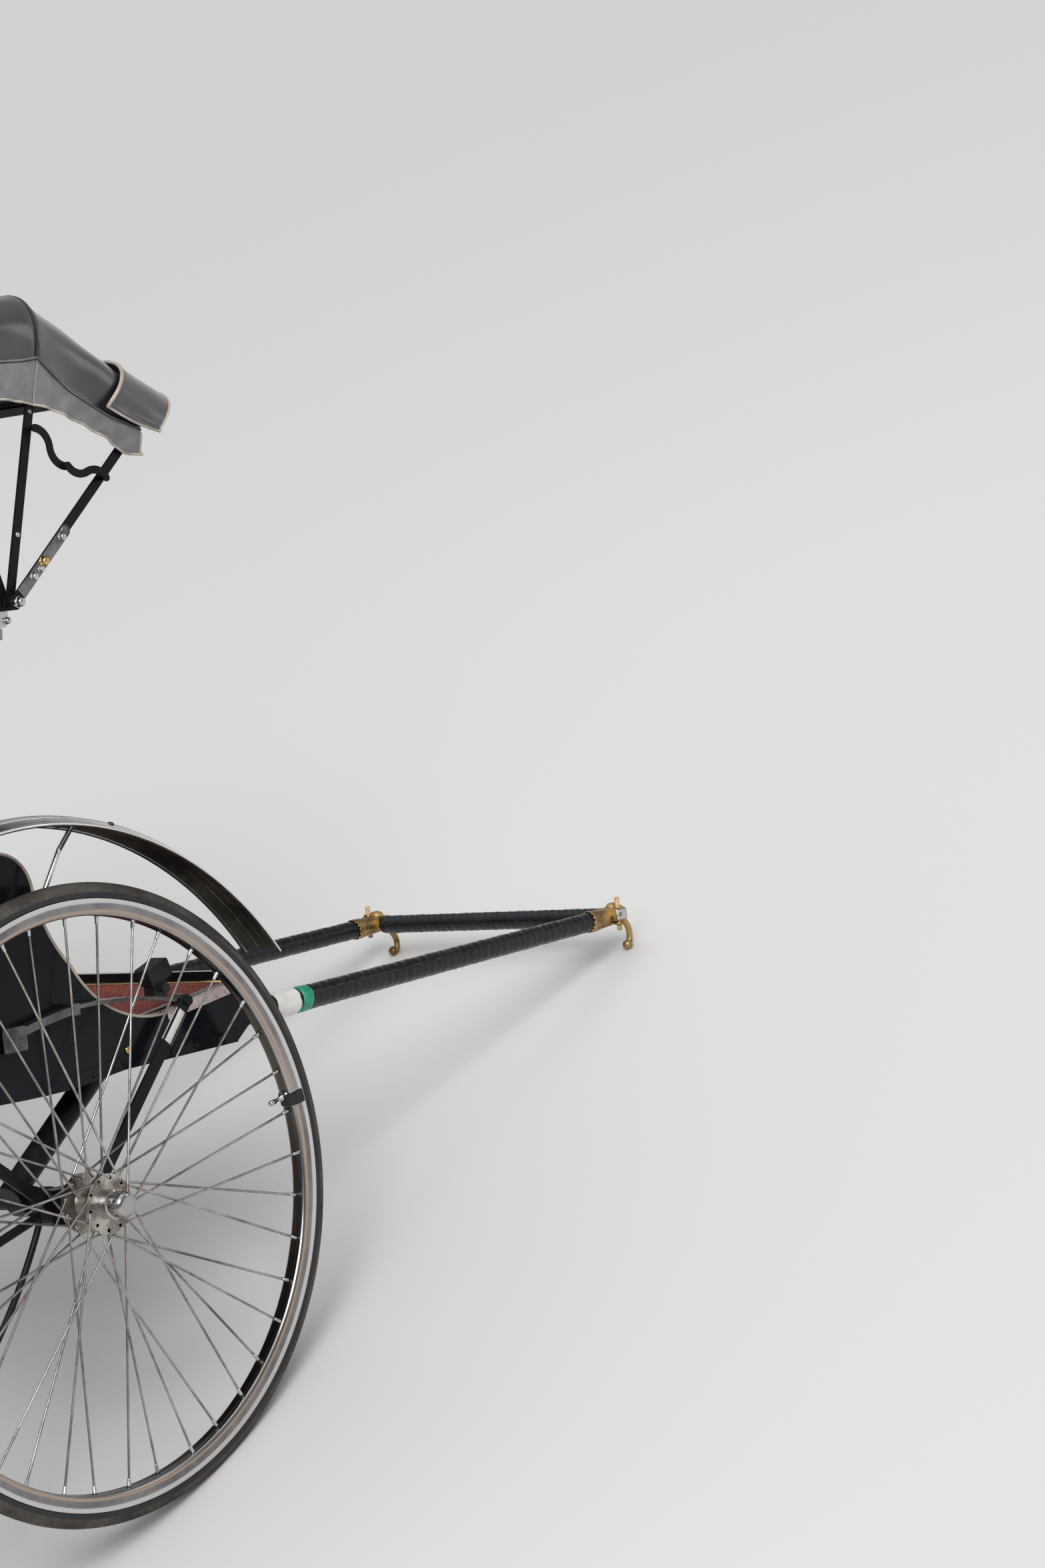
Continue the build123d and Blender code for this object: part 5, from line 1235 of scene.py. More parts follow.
# %% One hood panel with its valances
def hood_panel(rear, ahead, sag, folds, seed, seam=(0.705, 0.02), hem_rise=0.10, ahead_of_bow=(0.0, 0.0), rows=24,
               columns=170):
    """The cloth on a grid of s and t up to the seam; the valances on grids of s and depth below it."""
    def seam_at(s):
        return seam[0] + seam[1] * np.clip(4 * s * (1 - s), 0, 1)

    s, v = np.meshgrid(np.linspace(0, 1, rows), np.linspace(-1, 1, columns), indexing="ij")
    s = s * (1 + ahead_of_bow[0] * smooth((np.abs(v) - 0.8) / 0.2))
    shape = dict(sag=sag, folds=folds, seed=seed)
    cloth = hood_points(rear, ahead, s, 0.5 + v * seam_at(s) / 2, **shape)
    shells = [closed_sheet(cloth, cloth_thickness, (0, 2), hood_heart)]
    line_t = 0.5 + np.linspace(-1, 1, columns) * (seam[0] - 0.006) / 2
    for share in (0.030, 0.056, 0.944, 0.970):
        line = hood_points(rear, ahead, np.full(columns, share), line_t, **shape)
        shells.append(stitch_row(line, outward_of(line), finish=3))
    welt = hood_points(rear, ahead, np.full(columns, 0.004), line_t, **shape)
    normal_to_arch = (-math.sin(math.radians(rear[0])), 0, math.cos(math.radians(rear[0])))
    shells.append(tube(welt + outward_of(welt) * 0.0004, 0.0016, 8, normal_to_arch, finish=2))
    for hand in (-1, 1):
        s, w = np.meshgrid(np.linspace(0, 1, 52), np.linspace(-0.05, 1, 16), indexing="ij")
        hang = np.clip(w, 0, 1)
        s = s * (1 + ahead_of_bow[0] + (ahead_of_bow[1] - ahead_of_bow[0]) * hang**0.8)
        hem = 1 - (1 - seam_at(s)) * hem_rise * np.clip(4 * s * (1 - s), 0, 1) - 0.10 * smooth((s - 1.0) / 0.24) * hang
        u = seam_at(s) + w * (hem - seam_at(s))
        flap = hood_points(rear, ahead, s, 0.5 + hand * u / 2, sag=sag * 0.6, folds=folds * 0.5, seed=seed)
        swing = 0.5 + 0.5 * np.sin(2 * np.pi * (1.6 * s + 0.17 * hand) + seed)
        ripple = 0.30 * np.sin(2 * np.pi * (4.4 * s + 0.5 * hang) + 2 * seed)
        loose = np.clip(np.minimum(s, np.where(ahead_of_bow[1] > 0, 1.0, 1 - s)) * 8, 0.25, 1)
        flap[..., 1] += hand * (0.0024 + 0.0085 * (swing + ripple) * loose * hang**1.2)
        shells.append(closed_sheet(flap, 0.0016, (1, 1), hood_heart))
        s_line = np.linspace(0, 1 + ahead_of_bow[0], 44)
        cord = hood_points(rear, ahead, s_line, 0.5 + hand * seam_at(s_line) / 2, **shape)
        cord[:, 1] += hand * 0.0040
        shells.append(tube(cord, 0.0017, 8, finish=2))
        shells.append(stitch_row(cord + [0, hand * 0.0006, -0.0055], 0 * cord + [0, hand, 0], finish=3))
        bound = np.concatenate([flap[:, -1], flap[-1, -2:1:-1]]) if ahead_of_bow[1] else flap[:, -1]
        shells.append(tube(evenly(bound, 120) + [0, -hand * 0.0008, 0], 0.0024, 10, (0, 1, 0), 0.75, finish=4))
    return shells


hood_finishes = [hood_cloth, valance_cloth_painted_sheen, lining_cloth, seam_thread, binding]


def shifted(edge, distance):
    """The same arch moved off its bow's plane, by turning it a little about the pivot."""
    angle, half, radius, depth = edge
    return angle + math.degrees(distance / radius), half, radius, depth


def blend_between(piece):
    """Bakes the piece's transform into its mesh."""
    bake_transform(piece)


panels = (
    ("rear", rear_edge, third_edge, "hood_rear", "hood_third",
     dict(sag=0.008, folds=0.0036, seed=0.4, seam=(0.690, 0.015))),
    ("middle", third_edge, second_edge, "hood_third", "hood_second",
     dict(sag=0.007, folds=0.0060, seed=2.2, seam=(0.676, 0.020))),
    ("front", second_edge, front_edge_arch, "hood_second", "hood_front",
     dict(sag=0.007, folds=0.0060, seed=1.1, seam=(0.678, 0.055), hem_rise=0.20, ahead_of_bow=(0.035, 0.19))),
)
for place_name, rear, ahead, body_a, body_b, shape in panels:
    shells = hood_panel(shifted(rear, -0.0005), shifted(ahead, 0.0005), **shape)
    panel = make_piece(f"hood_panel_{place_name}", as_frame(shells), hood_finishes, None)
    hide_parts(f"hood_cover_{place_name}")
    blend_between(panel)

# %% [markdown]
# A flap is sewn to the front bow as a visor against sun and rain. It starts a hand's width
# behind the bow, lies over the cloth there, and kicks out beyond the bow. Two lines in the side
# view, of its crest and of its lower edge, and the corner's quarter circle give the surface.

# %% Visor
visor_crest = [(0.3712, 1.4477), (0.4095, 1.4248), (0.4385, 1.4092), (0.4622, 1.3968), (0.4800, 1.3875)]
visor_foot = [(0.2770, 1.3600), (0.3070, 1.3440), (0.3340, 1.3310), (0.3640, 1.3190), (0.3915, 1.3105)]
visor_half = 0.4640


def visor_points(s, t):
    """Crest and foot lines at s; between them a flat top, a quarter-circle corner and a short straight side."""
    crest, foot = (curve_through([(x, 0, z) for x, z in line], 200) for line in (visor_crest, visor_foot))
    at = np.linspace(0, 1, 200)
    top = np.stack([np.interp(s, at, crest[:, k]) for k in (0, 2)], -1)
    low = np.stack([np.interp(s, at, foot[:, k]) for k in (0, 2)], -1)
    length = np.linalg.norm(low - top, axis=-1)
    u, side = np.abs(2 * t - 1), np.sign(t - 0.5)
    across, height = arch(visor_half, 0.0, length, np.clip(u, 0, 1))
    down = top + (low - top) * (-height / length)[..., None]
    ease = 0.0045 * np.sin(np.pi * s) * np.sin(2 * np.pi * (1.7 * u + 0.3 * side)) * np.clip(u - 0.3, 0, 1)
    wide = across + 0.0025 + ease + 0.006 * smooth((s - 0.45) / 0.55) * np.clip((u - 0.5) * 2, 0, 1)
    return np.stack([down[..., 0], wide * side, down[..., 1]], -1)


def visor():
    """The flap as a closed sheet; a thick cream cord on its rear edge and thin ones on its front and lower edges."""
    s, t = np.meshgrid(np.linspace(0, 1, 26), np.linspace(0, 1, 190), indexing="ij")
    cloth = visor_points(s, t)
    heart = np.array([0.30, 0, 1.20])
    shells = [closed_sheet(cloth, cloth_thickness, (0, 2), heart)]
    around = np.linspace(0, 1, 190)
    for share, reach in ((0.006, 0.0034), (0.994, 0.0022)):
        line = visor_points(np.full(190, share), around)
        shells.append(tube(line, reach, 10, (0.63, 0, -0.77), finish=4))
    for side_t in (0.002, 0.998):
        line = visor_points(np.linspace(0, 1, 50), np.full(50, side_t))
        shells.append(tube(line, 0.0022, 10, finish=4))
    for share in (0.07, 0.93):
        line = visor_points(np.full(190, share), around)
        shells.append(stitch_row(line, outward_of(line), finish=3))
    return shells


flap = make_piece("hood_visor_flap", as_frame(visor()), hood_finishes, None)
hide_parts("hood_visor")
blend_between(flap)

# %% [markdown]
# The rear curtain closes the back of the hood from the rear bow down to the back board. It is
# gathered at its foot, so its waves run up and down and grow towards the foot.

# %% Rear curtain
curtain_foot_edge = (186.0, bow_half(0), 0.504, 0.140)


def curtain():
    """The ruled sheet between foot and rear bow, with pleats a cos(n u) that die out at the bow; a hem."""
    foot, head = curtain_foot_edge, shifted(rear_edge, 0.0005)
    s, t = np.meshgrid(np.linspace(0, 1, 34), np.linspace(0, 1, 200), indexing="ij")
    cloth = hood_points(foot, head, s, t, sag=0.010, folds=0.003, seed=5.0)
    u = np.abs(2 * t - 1)
    pleat = 0.0050 * np.cos(2 * np.pi * (8.5 * u + 0.4 * np.sin(5 * s))) * (1 - s) ** 0.8 * smooth(s * 14 + 0.25)
    cloth = cloth + outward_of(cloth) * pleat[..., None] * 0.8
    shells = [closed_sheet(cloth, cloth_thickness, (0, 2), hood_heart)]
    line_t = np.linspace(0.004, 0.996, 200)
    for share in (0.035, 0.075, 0.965):
        line = np.stack([np.interp(line_t, t[0], row) for row in cloth[round(share * 33)].T], -1)
        shells.append(stitch_row(line, outward_of(line), finish=3))
    hem = evenly(cloth[0], 200)
    shells.append(tube(hem, 0.0030, 10, (0.105, 0, -0.995), finish=2))
    return shells


rear_curtain = make_piece("hood_rear_curtain", as_frame(curtain()), hood_finishes, None)
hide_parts("hood_curtain")
blend_between(rear_curtain)

# %% [markdown]
# Between the iron and the cloth lies a strip of felt on each bow's crest, sewn into a pocket of
# the lining. From inside the hood it shows as a dark soft band over every bow.

# %% Felt pads on the bows
def bow_pad(edge):
    """A flat bar along the arch's crest and corners, in the space between the bow and the cloth."""
    angle, half, radius, depth = edge
    t = np.linspace(0.5 - 0.285, 0.5 + 0.285, 70)
    outer = on_arch(edge, t, 0.0)
    u = np.abs(2 * t - 1)
    a = math.radians(angle)
    across, height = arch(half - cover_gap, radius + 0.0006, depth, u)
    inner = np.stack([pivot_x + height * math.cos(a), across * np.sign(t - 0.5), pivot_z + height * math.sin(a)], -1)
    middle = (inner + outer) / 2
    thickness = np.linalg.norm(outer - inner, axis=-1)
    wide = np.array([-math.sin(a), 0, math.cos(a)])
    thick = unit(outer - inner)
    ring = np.array([(1, -0.3), (1, 0.3), (0.7, 0.46), (-0.7, 0.46),
                     (-1, 0.3), (-1, -0.3), (-0.7, -0.46), (0.7, -0.46)])
    points = (middle[:, None] + ring[:, :1] * wide * 0.0135
              + ring[:, 1:] * thick[:, None] * thickness[:, None, None])
    points = capped(points, points[0].mean(0), points[-1].mean(0))
    return shell(points, wrap_columns=True, uv_size=(path_length(middle), 0.06))


hood_arches = {"rear": rear_edge, "third": third_edge, "second": second_edge, "front": front_edge_arch}
for place_name, edge in hood_arches.items():
    make_piece(f"bow_pad_{place_name}", as_frame([bow_pad(edge)]), [lining_cloth], f"hood_{place_name}")

# %% [markdown]
# The shafts are wrapped from the bend to the brass with black tape, laid in overlapping turns so
# that the hands grip. The wrap is a tube a little thicker than the shaft whose radius climbs
# through each turn and drops at its edge, like a very shallow screw.

# %% Tape on the shafts
shaft_side, shaft_start, taper_start, shaft_tip_place = 0.330, (0.240, 0.232), (0.700, 0.244), (1.596, 0.274)
shaft_radius, shaft_tip_radius = 0.023, 0.0185


def shaft_line(x):
    """Height and radius of a shaft at a distance forward of the axle."""
    height = np.interp(x, [shaft_start[0], taper_start[0], shaft_tip_place[0]],
                       [shaft_start[1], taper_start[1], shaft_tip_place[1]])
    return height, np.interp(x, [taper_start[0], shaft_tip_place[0]], [shaft_radius, shaft_tip_radius])


def wrap_lobes(length, rows, sides, pitch, seed, step=0.0011):
    """Rise through each turn and drop at its edge; the pitch drifts slowly, and turns overlap in small lumps."""
    along = np.linspace(0, length, rows)[:, None]
    around = np.arange(sides)[None] / sides
    drift = 0.25 * np.sin(along * 9.0 + seed) + 0.12 * np.sin(along * 31.0 + 2 * seed)
    turn = np.mod(along / pitch + drift - around, 1.0)
    lump = 0.00035 * np.sin(2 * np.pi * (2 * around + along * 23.0)) * np.sin(along * 57.0 + seed)
    return step * turn**1.6 + lump


def tape_wrap(side_sign, seed):
    """The wrap from behind the green tape to inside the brass sleeve."""
    x = np.linspace(0.742, 1.5985, 560)
    height, radius = shaft_line(x)
    path = parked(np.stack([x, np.full(len(x), side_sign * shaft_side), height], -1))
    lobes = wrap_lobes(path_length(path), len(x), 22, 0.0195, seed, 0.0006)
    return tube(path, radius + 0.0006, 22, lobes=lobes)


def sleeve(side_sign, x, height, outer, inner, around, uv_size):
    """A closed ring round a shaft: outer surface forward, inner surface back, centre + radius x (cos, sin)."""
    x, height, reach = (np.concatenate([a, b[::-1]]) for a, b in ((x, x), (height, height), (outer, inner)))
    level = np.stack([x, side_sign * shaft_side + reach * np.cos(around), height + reach * np.sin(around)], -1)
    return shell(parked(level), wrap_rows=True, wrap_columns=True, uv_size=uv_size)


def wrapped_band(side_sign, start, end, lift, waves, seed, rows=10, sides=48):
    """A short band of tape: each column runs from its own start to its own end, so that the edges can be torn."""
    around = np.arange(sides) / sides * 2 * np.pi
    torn = sum(np.sin(k * around + seed * k) / k for k in (1, 2, 3, 5))
    first = start + waves[0] * torn
    last = end + waves[1] * np.roll(torn, 9)
    share = np.linspace(0, 1, rows)[:, None]
    x = first * (1 - share) + last * share
    height, radius = shaft_line(x)
    edge = np.minimum(share, 1 - share) * rows
    wrinkle = 0.0004 * np.sin(3 * around + 40 * share + seed) + 0.0003 * np.sin(7 * around - 9 * share)
    reach = radius + lift * np.clip(edge + 0.15, 0, 1) + wrinkle
    return sleeve(side_sign, x, height, reach, radius - 0.0004, around, (0.06, 0.14))


for side, sign, seed in (("right", -1, 0.3), ("left", 1, 2.6)):
    make_piece(f"shaft_wrap_{side}", [tape_wrap(sign, seed)], [shaft_tape], "carriage")
    make_piece(f"white_band_{side}", [wrapped_band(sign, 0.648, 0.711, 0.0019, (0.001, 0.0014), seed)], [white_tape],
               "carriage")
    make_piece(f"green_band_{side}", [wrapped_band(sign, 0.719, 0.746, 0.0016, (0.0035, 0.0032), seed + 1.1)],
               [green_tape], "carriage")

crossbar_y = np.linspace(-0.2985, 0.2985, 400)
bar_path = parked(np.stack([np.full(400, 1.656), crossbar_y, np.full(400, 0.275)], -1))
bar_lobes = wrap_lobes(path_length(bar_path), 400, 20, 0.0180, 1.7, 0.0009)
make_piece("cross_bar_wrap", [tube(bar_path, 0.0186, 20, (0, 0, 1), lobes=bar_lobes)], [shaft_tape], "carriage")

# %% [markdown]
# Each shaft ends in a brass casting. Its mouth is cut into teeth that were hammered down over the
# tape; an aluminium plate is folded round its corner and held by a slotted screw; a wooden peg
# stands in a hole beside it, and a round brass boss sits where the curved foot begins.

# %% Brass mouths, plates, pegs and bosses
tip_x, tip_z, peg_side = 1.656, 0.281, 0.3505


def brass_mouth(side_sign, seed):
    """A thin flared ring whose rear edge is a row of uneven teeth; outer and inner surfaces closed together."""
    around = np.arange(84) / 84 * 2 * np.pi
    teeth = 0.5 - 0.5 * np.cos(14 * around + 0.5 * np.sin(3 * around + seed))
    first = 1.5800 + 0.0050 * teeth + 0.004 * np.sin(around + seed)
    share = np.linspace(0, 1, 9)[:, None]
    x = first * (1 - share) + 1.6060 * share
    height = np.interp(x, [1.596, 1.680], [0.274, 0.2768])
    outer = np.interp(x, [1.575, 1.590, 1.606], [0.0213, 0.0221, 0.0213])
    return sleeve(side_sign, x, height, outer, outer - 0.0011, around, (0.03, 0.13))


def tip_fittings(side_sign):
    """Peg with rounded ends, boss, two collars, folded plate with two screws, and a band round the foot's ball."""
    sky = turned([0, 0, 1])
    outward = np.array([0, side_sign, 0])
    peg = [(-0.034, 0), (-0.034, 0.0036), (-0.0325, 0.0052), (0.0325, 0.0052), (0.0342, 0.0040), (0.0348, 0.0018),
           (0.0349, 0)]
    shells = [turned_shape(peg, parked([tip_x, side_sign * peg_side, tip_z]), sky, 16, finish=1)]
    boss = [(-0.002, 0), (-0.002, 0.0150), (0.001, 0.0158), (0.004, 0.0150), (0.0075, 0.0120), (0.0100, 0.0070),
            (0.0108, 0)]
    shells.append(turned_shape(boss, parked([1.6625, side_sign * 0.3330, 0.2935]), sky, 24, finish=0))
    collar = [(-0.001, 0), (-0.001, 0.0098), (0.0020, 0.0106), (0.0048, 0.0098), (0.0052, 0.0062), (0.0052, 0)]
    for top, way in ((0.2935, sky), (0.2640, -sky)):
        shells.append(turned_shape(collar, parked([tip_x, side_sign * peg_side, top]), way, 18))
    face = side_sign * 0.3563
    side_run = parked(np.stack([np.linspace(1.6440, 1.6742, 12), np.full(12, face), np.full(12, 0.2800)], -1))
    shells.append(bar(side_run, sky, 0.0215, 0.0020, finish=2))
    run_y = np.linspace(face, side_sign * 0.3330, 12)
    front_run = parked(np.stack([np.full(12, 1.6752), run_y, np.full(12, 0.2800)], -1))
    shells.append(bar(front_run, sky, 0.0225, 0.0024, finish=2))
    shells += bolts([parked([1.6545, face + side_sign * 0.0008, 0.2800])], outward, 0.0050, 0.0026, 16, finish=3)
    shells += bolts([parked([1.6860, side_sign * 0.3375, 0.2755])], outward, 0.0058, 0.0034, 14, finish=3)
    ball_band = [(-0.0014, 0.0100), (-0.0014, 0.0106), (0.0014, 0.0106), (0.0014, 0.0100)]
    ball = parked([foot_x, side_sign * shaft_side, foot_z])
    shells.append(turned_shape(ball_band, ball, turned([0.1, 0, 1]), 24))
    return shells


for side, sign, seed in (("right", -1, 0.9), ("left", 1, 3.1)):
    make_piece(f"brass_mouth_{side}", [brass_mouth(sign, seed)], [brass], "carriage")
    make_piece(f"tip_fittings_{side}", tip_fittings(sign), [brass, peg_wood, aluminium, dull_steel], "carriage")

# %% [markdown]
# The bows turn on one pin at each side. Around it sit the parts that a smith bolts together:
# a steel strap that stiffens the front bow, domed nuts on the plate and along the strap, one of
# them brass, and rivets where the struts are hung.

# %% Hardware of the bows
def on_ray_level(angle, radius, y, off=0.0):
    """A point of the hood's side view: distance along a bow from the pivot and offset across it."""
    a = math.radians(angle)
    return parked([pivot_x + radius * math.cos(a) - off * math.sin(a), y,
                   pivot_z + radius * math.sin(a) + off * math.cos(a)])


bow_face = {place_name: bow_inner_half + place_number * bow_step + bow_bar
            for place_number, place_name in enumerate(("rear", "third", "second", "front"))}
front_angle, second_angle, plate_side, plate_half = front_edge_arch[0], second_edge[0], 0.403, 0.0031
ball_nut = [(-0.0005, 0), (-0.0005, 0.0078), (0.0012, 0.0078), (0.0020, 0.0052), (0.0042, 0.0066), (0.0068, 0.0068),
            (0.0092, 0.0052), (0.0104, 0.0026), (0.0107, 0)]


def nut_at(centre, side_sign, scale=1.0, finish=0):
    """A domed nut that faces outward on its side."""
    profile = np.array(ball_nut) * scale
    return turned_shape(profile, centre, (0, side_sign, 0), 18, finish)


def front_bow_hardware(side_sign):
    """A thin polished cover on the strap, four domed nuts along it, one of them brass, and a nut on the pin."""
    face = side_sign * (bow_face["front"] + 0.0025 + 0.0006)
    run = np.linspace(on_ray_level(front_angle, 0.020, face), on_ray_level(front_angle, 0.176, face), 30)
    across = turned([-math.sin(math.radians(front_angle)), 0, math.cos(math.radians(front_angle))])
    shells = [bar(run, across, 0.0206, 0.0014, finish=0)]
    end = [(0, 0), (0, 0.0103), (0.0014, 0.0101), (0.0015, 0)]
    strap_end = on_ray_level(front_angle, 0.176, face - side_sign * 0.0007)
    shells.append(turned_shape(end, strap_end, (0, side_sign, 0), 20))
    pin_end = side_sign * (bow_face["front"] + 0.0105)
    nuts = [(0.160, 0.0, face, 0.95, 1), (0.062, 0.0, face, 0.95, 1), (0.098, 0.002, face, 1.15, 2),
            (0.084, -0.003, face, 0.80, 1), (0.0, 0.0, pin_end, 1.2, 1)]
    for reach, off, y, scale, finish in nuts:
        shells.append(nut_at(on_ray_level(front_angle, reach, y, off), side_sign, scale, finish))
    return shells


def second_bow_hardware(side_sign):
    """Rivets of the strut and of the cloth's pocket on the second bow."""
    face = side_sign * bow_face["second"]
    shells = bolts([on_ray_level(second_angle, 0.338, face)], (0, side_sign, 0), 0.0042, 0.0030, 12, finish=0)
    shells += bolts([on_ray_level(second_angle, 0.120, face)], (0, side_sign, 0), 0.0048, 0.0034, 12, finish=1)
    return shells


def plate_hardware(side_sign):
    """Domed nuts on both faces of the pivot plate, a ring where the rod meets it, and two nuts at the rod's foot."""
    face, back = side_sign * (plate_side + plate_half), side_sign * (plate_side - plate_half)
    shells = []
    for x, z in ((-0.001, 1.052), (0.041, 1.052), (-0.001, 1.006), (0.041, 1.006)):
        shells.append(nut_at(parked([x, face, z]), side_sign, 0.85, finish=1))
        shells.append(nut_at(parked([x, back, z]), -side_sign, 0.7, finish=1))
    collar = [(-0.009, 0.0071), (-0.009, 0.0092), (-0.007, 0.0099), (0.007, 0.0099), (0.009, 0.0092), (0.009, 0.0071)]
    rod_end = parked([0.0175, side_sign * plate_side, 0.984])
    shells.append(turned_shape(collar, rod_end, turned([0.12, 0, 1]), 20))
    for x, z in ((-0.246, 0.6805), (-0.218, 0.6760)):
        seat = parked([x, side_sign * plate_side, z])
        shells.append(turned_shape(np.array(ball_nut) * 0.8, seat, turned([0.2, 0, 1]), 18, finish=1))
    return shells


for side, sign in both_sides:
    make_piece(f"front_bow_hardware_{side}", front_bow_hardware(sign), [dull_steel, bright_chrome, bright_brass],
               "hood_front")
    make_piece(f"second_bow_hardware_{side}", second_bow_hardware(sign), [dull_steel, bright_chrome], "hood_second")
    make_piece(f"plate_hardware_{side}", plate_hardware(sign), [dull_steel, bright_chrome], "carriage")

# %% [markdown]
# The seats are leathercloth over springs and horsehair. Padding is shaped by what holds it: the
# cloth is pushed out by the filling and held back at its seams. So each cushion starts as its
# plain solid, a little smaller, gets an even skin of small faces, and is blown up by a cloth
# simulation with inner pressure. How far a point may move is capped, so it stays in its place.

# %% From the frame to the level drawing, and the swelling of a cushion
def levelled(points):
    """The inverse of parked: moved back to the axle, then turned nose up by park_lean."""
    v = np.asarray(points, float) - np.array([axle_x, 0, axle_z])
    c, s = math.cos(park_lean), math.sin(park_lean)
    return np.stack([v[..., 0] * c - v[..., 2] * s, v[..., 1], v[..., 0] * s + v[..., 2] * c], -1)


def mesh_points(mesh):
    points = np.empty(len(mesh.vertices) * 3, np.float32)
    mesh.vertices.foreach_get("co", points)
    return points.reshape(-1, 3).astype(float)


def set_points(mesh, points):
    mesh.vertices.foreach_set("co", np.asarray(points, np.float32).ravel())
    mesh.update()


def skinned_copy(name, node, inset, voxel):
    """A merged copy of a node's solid, each level coordinate pulled towards its middle by the inset, then remeshed."""
    mesh = nodes[node].data.copy()
    mesh.name = name
    weld(mesh, 1e-5)
    level = levelled(mesh_points(mesh))
    middle = (level.min(0) + level.max(0)) / 2
    half = (level.max(0) - level.min(0)) / 2
    set_points(mesh, parked(middle + (level - middle) * (half - np.asarray(inset)) / half))
    mesh.materials.clear()
    piece = linked(name, mesh)
    remesh = piece.modifiers.new("even_skin", "REMESH")
    remesh.mode = "VOXEL"
    remesh.voxel_size = voxel
    skinned = bpy.data.meshes.new_from_object(piece.evaluated_get(bpy.context.evaluated_depsgraph_get()))
    piece.modifiers.clear()
    piece.data = skinned
    skinned.name = name
    return piece


def swell(piece, cap, pressure=4.0, frames=20):
    """Cloth with inner pressure and no weight for some frames; then each point's move is cut to the cap."""
    start = mesh_points(piece.data)
    cloth = piece.modifiers.new("swelling", "CLOTH")
    cloth.settings.quality = 4
    cloth.settings.use_pressure = True
    cloth.settings.uniform_pressure_force = pressure
    cloth.settings.effector_weights.gravity = 0
    cloth.point_cache.frame_end = frames
    scene = bpy.context.scene
    for frame_number in range(1, frames + 1):
        scene.frame_set(frame_number)
    swollen = piece.evaluated_get(bpy.context.evaluated_depsgraph_get()).to_mesh()
    end = mesh_points(swollen)
    piece.modifiers.clear()
    scene.frame_set(1)
    move = end - start
    far = np.linalg.norm(move, axis=1, keepdims=True)
    end = start + move * np.minimum(1, cap / np.maximum(far, 1e-9))
    set_points(piece.data, end)
    print(piece.name, "swelled by up to", round(float(min(cap, far.max())) * 1000, 1), "mm")
    return end


def finish_padding(piece, finishes, body, node):
    """Smooth faces, finishes, one subdivision, and what the piece stands for."""
    mesh = piece.data
    for material in finishes:
        mesh.materials.append(material)
    mesh.polygons.foreach_set("use_smooth", np.ones(len(mesh.polygons), bool))
    mesh.update()
    soft = piece.modifiers.new("soft", "SUBSURF")
    soft.levels = soft.render_levels = 1
    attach(piece, body)
    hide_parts(node)
    print(piece.name, len(mesh.polygons), "faces before subdivision")


# %% [markdown]
# The seams come after the swelling, because a skin of 7 mm faces can't hold a sharp groove
# through it. A channel is pressed in along a line: every point near the line moves inward by a
# depth that falls off with its distance like a bell curve.

# %% Seat and back cushions
def press_lines(coordinate, places, depth, width):
    """Sum of bell curves centred on the given places: how deep the channels are at each coordinate."""
    return sum(depth * np.exp(-((coordinate - p) / width) ** 2) for p in places)


seat_base = 0.432 + 0.0002
seat_top = seat_base + 0.092
seat_half = body_half - panel_thickness - 0.001
back_lean = math.atan2(0.4638 - 0.400, 0.978 - 0.215)
channel_places = np.linspace(-0.30, 0.30, 6)


def back_line(z):
    """x of the back board's face at a height, in the level drawing."""
    return -0.400 - (z - 0.215) * math.tan(back_lean)


def make_seat_cushion():
    """Crowned top with channels from front to back, kept inside the side panels and on its board."""
    piece = skinned_copy("seat_cushion_padded", "seat_cushion", (0.010, 0.010, 0.010), 0.0075)
    level = levelled(swell(piece, 0.024))
    crown = np.clip(1 - (level[:, 1] / 0.40) ** 4, 0, 1) * np.clip(1 - ((level[:, 0] + 0.19) / 0.22) ** 4, 0, 1)
    upper = smooth((level[:, 2] - seat_base - 0.045) / 0.03)
    channels = press_lines(level[:, 1], channel_places, 0.0085, 0.007) * (0.25 + 0.75 * crown)
    level[:, 2] += upper * (0.006 * crown - channels)
    nose = smooth((level[:, 0] + 0.02) / 0.03) * (1 - upper)
    level[:, 0] -= nose * press_lines(level[:, 1], channel_places, 0.003, 0.007)
    level[:, 1] = np.clip(level[:, 1], -seat_half, seat_half)
    level[:, 2] = np.clip(level[:, 2], seat_base, seat_top + 0.012)
    level[:, 0] = np.maximum(level[:, 0], back_line(level[:, 2]) + 0.002)
    level[:, 0] = np.minimum(level[:, 0], 0.031)
    set_points(piece.data, parked(level))
    finish_padding(piece, [seat_leather], "carriage", "seat_cushion")
    return piece


def make_back_cushion():
    """The same channels run up the back; the rear face stays flat on its board."""
    piece = skinned_copy("back_cushion_padded", "back_cushion", (0.006, 0.010, 0.008), 0.0075)
    level = levelled(swell(piece, 0.024))
    ahead = level[:, 0] - back_line(level[:, 2])
    height = (level[:, 2] - 0.745) / 0.21
    crown = np.clip(1 - (level[:, 1] / 0.40) ** 4, 0, 1) * np.clip(1 - height**4, 0, 1)
    front = smooth((ahead - 0.028) / 0.02)
    channels = press_lines(level[:, 1], channel_places, 0.0085, 0.007) * (0.25 + 0.75 * crown)
    level[:, 0] += front * (0.004 * crown - channels)
    lumbar = np.exp(-((level[:, 2] - 0.63) / 0.07) ** 2)
    level[:, 0] += front * 0.006 * lumbar
    level[:, 1] = np.clip(level[:, 1], -seat_half, seat_half)
    level[:, 0] = np.maximum(level[:, 0], back_line(level[:, 2]) + 0.0005)
    level[:, 2] = np.maximum(level[:, 2], seat_top + 0.0015)
    set_points(piece.data, parked(level))
    finish_padding(piece, [seat_leather], "carriage", "back_cushion")
    return piece


seat_pad = make_seat_cushion()
back_pad = make_back_cushion()

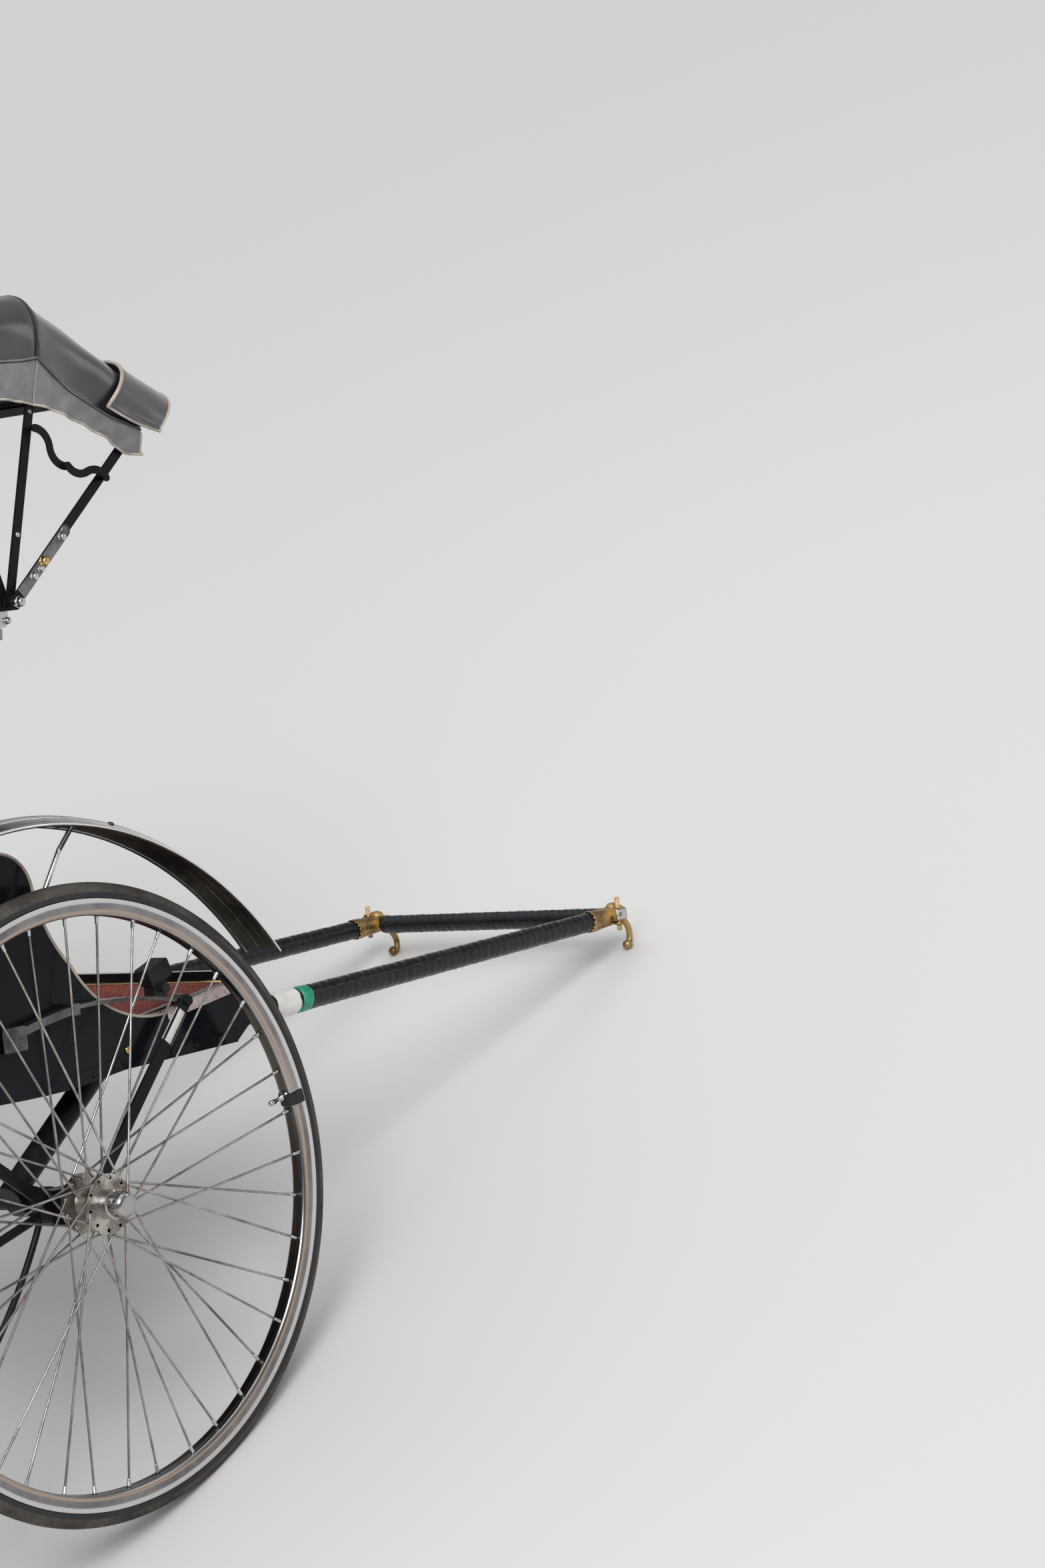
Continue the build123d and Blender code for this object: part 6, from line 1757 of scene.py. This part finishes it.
# %% [markdown]
# Arm pads are small bolsters, tacked along their lower edge. They need a finer skin and a
# smaller swell, and the same clipping against the board that they sit on.

# %% Arm pads
for side in ("right", "left"):
    pad = skinned_copy(f"arm_pad_padded_{side}", f"arm_pad_{side}", (0.004, 0.003, 0.0035), 0.0045)
    level = levelled(swell(pad, 0.008))
    low = levelled(mesh_points(nodes[f"arm_pad_{side}"].data))
    slope_x = np.array([low[:, 0].min(), low[:, 0].max()])
    rear_end, front_end = low[low[:, 0] < slope_x[0] + 0.004], low[low[:, 0] > slope_x[1] - 0.004]
    base_line = [rear_end[:, 2].min(), front_end[:, 2].min()]
    level[:, 2] = np.maximum(level[:, 2], np.interp(level[:, 0], slope_x, base_line) + 0.0003)
    set_points(pad.data, parked(level))
    finish_padding(pad, [seat_leather], "carriage", f"arm_pad_{side}")


# %% [markdown]
# Piping is a cord sewn into the seam where the top meets the sides. Its route is drawn as a
# rounded rectangle on the cushion's edge, and each of its points is then moved to the nearest
# place of the swollen skin, so that it follows every channel.

# %% Piping
def edge_loop(half_x, half_y, corner, count=240):
    """A rounded rectangle as x, y pairs about zero, with quarter-circle corners of the given radius."""
    arcs = []
    for k, (cx, cy) in enumerate(((1, 1), (-1, 1), (-1, -1), (1, -1))):
        a = np.linspace(k * np.pi / 2, (k + 1) * np.pi / 2, 14)
        x, y = cx * (half_x - corner) + corner * np.cos(a), cy * (half_y - corner) + corner * np.sin(a)
        arcs.append(np.stack([x, y], -1))
    loop = np.concatenate(arcs + [arcs[0][:1]])
    return evenly(np.concatenate([loop, 0 * loop[:, :1]], -1), count)[:, :2]


def snapped(piece, level_points, lift):
    """Each point moved to the nearest place of the piece's skin, then out along the skin's normal."""
    from mathutils import Vector
    found = [piece.closest_point_on_mesh(Vector(p)) for p in parked(level_points)]
    return np.array([tuple(place + normal * lift) for _, place, normal, _ in found])


def piping(path, reach=0.0036):
    """A closed round cord: the loop's last turn overlaps its first point."""
    loop = np.concatenate([path[:-1], path[:2]])
    kernel = np.array([1, 2, 3, 2, 1]) / 9
    core = np.concatenate([loop[-5:-2], loop, loop[2:4]])
    eased = np.stack([np.convolve(core[:, k], kernel, "valid") for k in range(3)], -1)
    return tube(eased, reach, 10, (0, 0, 1))


def seat_piping_shells():
    """Two cords round the seat, under its top and above its board."""
    mid_x = (0.026 + back_line(seat_top)) / 2
    half_x = (0.026 - back_line(seat_top)) / 2
    shells = []
    for z, inset in ((seat_top - 0.010, 0.004), (seat_base + 0.010, 0.006)):
        loop = edge_loop(half_x - inset, seat_half - inset, 0.03)
        level = np.stack([mid_x + loop[:, 0], loop[:, 1], np.full(len(loop), z)], -1)
        shells.append(piping(snapped(seat_pad, level, 0.0008)))
    return shells


def back_piping_shells():
    """One cord round the front face of the back cushion."""
    mid_z, half_z = (seat_top + 0.962) / 2, (0.962 - seat_top) / 2
    loop = edge_loop(half_z - 0.008, seat_half - 0.004, 0.05)
    z = mid_z + loop[:, 0]
    thickness = np.interp(z, [seat_top, 0.962], [0.074, 0.046])
    level = np.stack([back_line(z) + thickness - 0.008, loop[:, 1], z], -1)
    return [piping(snapped(back_pad, level, 0.0008))]


make_piece("seat_cushion_piping", seat_piping_shells(), [seat_piping], "carriage")
make_piece("back_cushion_piping", back_piping_shells(), [seat_piping], "carriage")
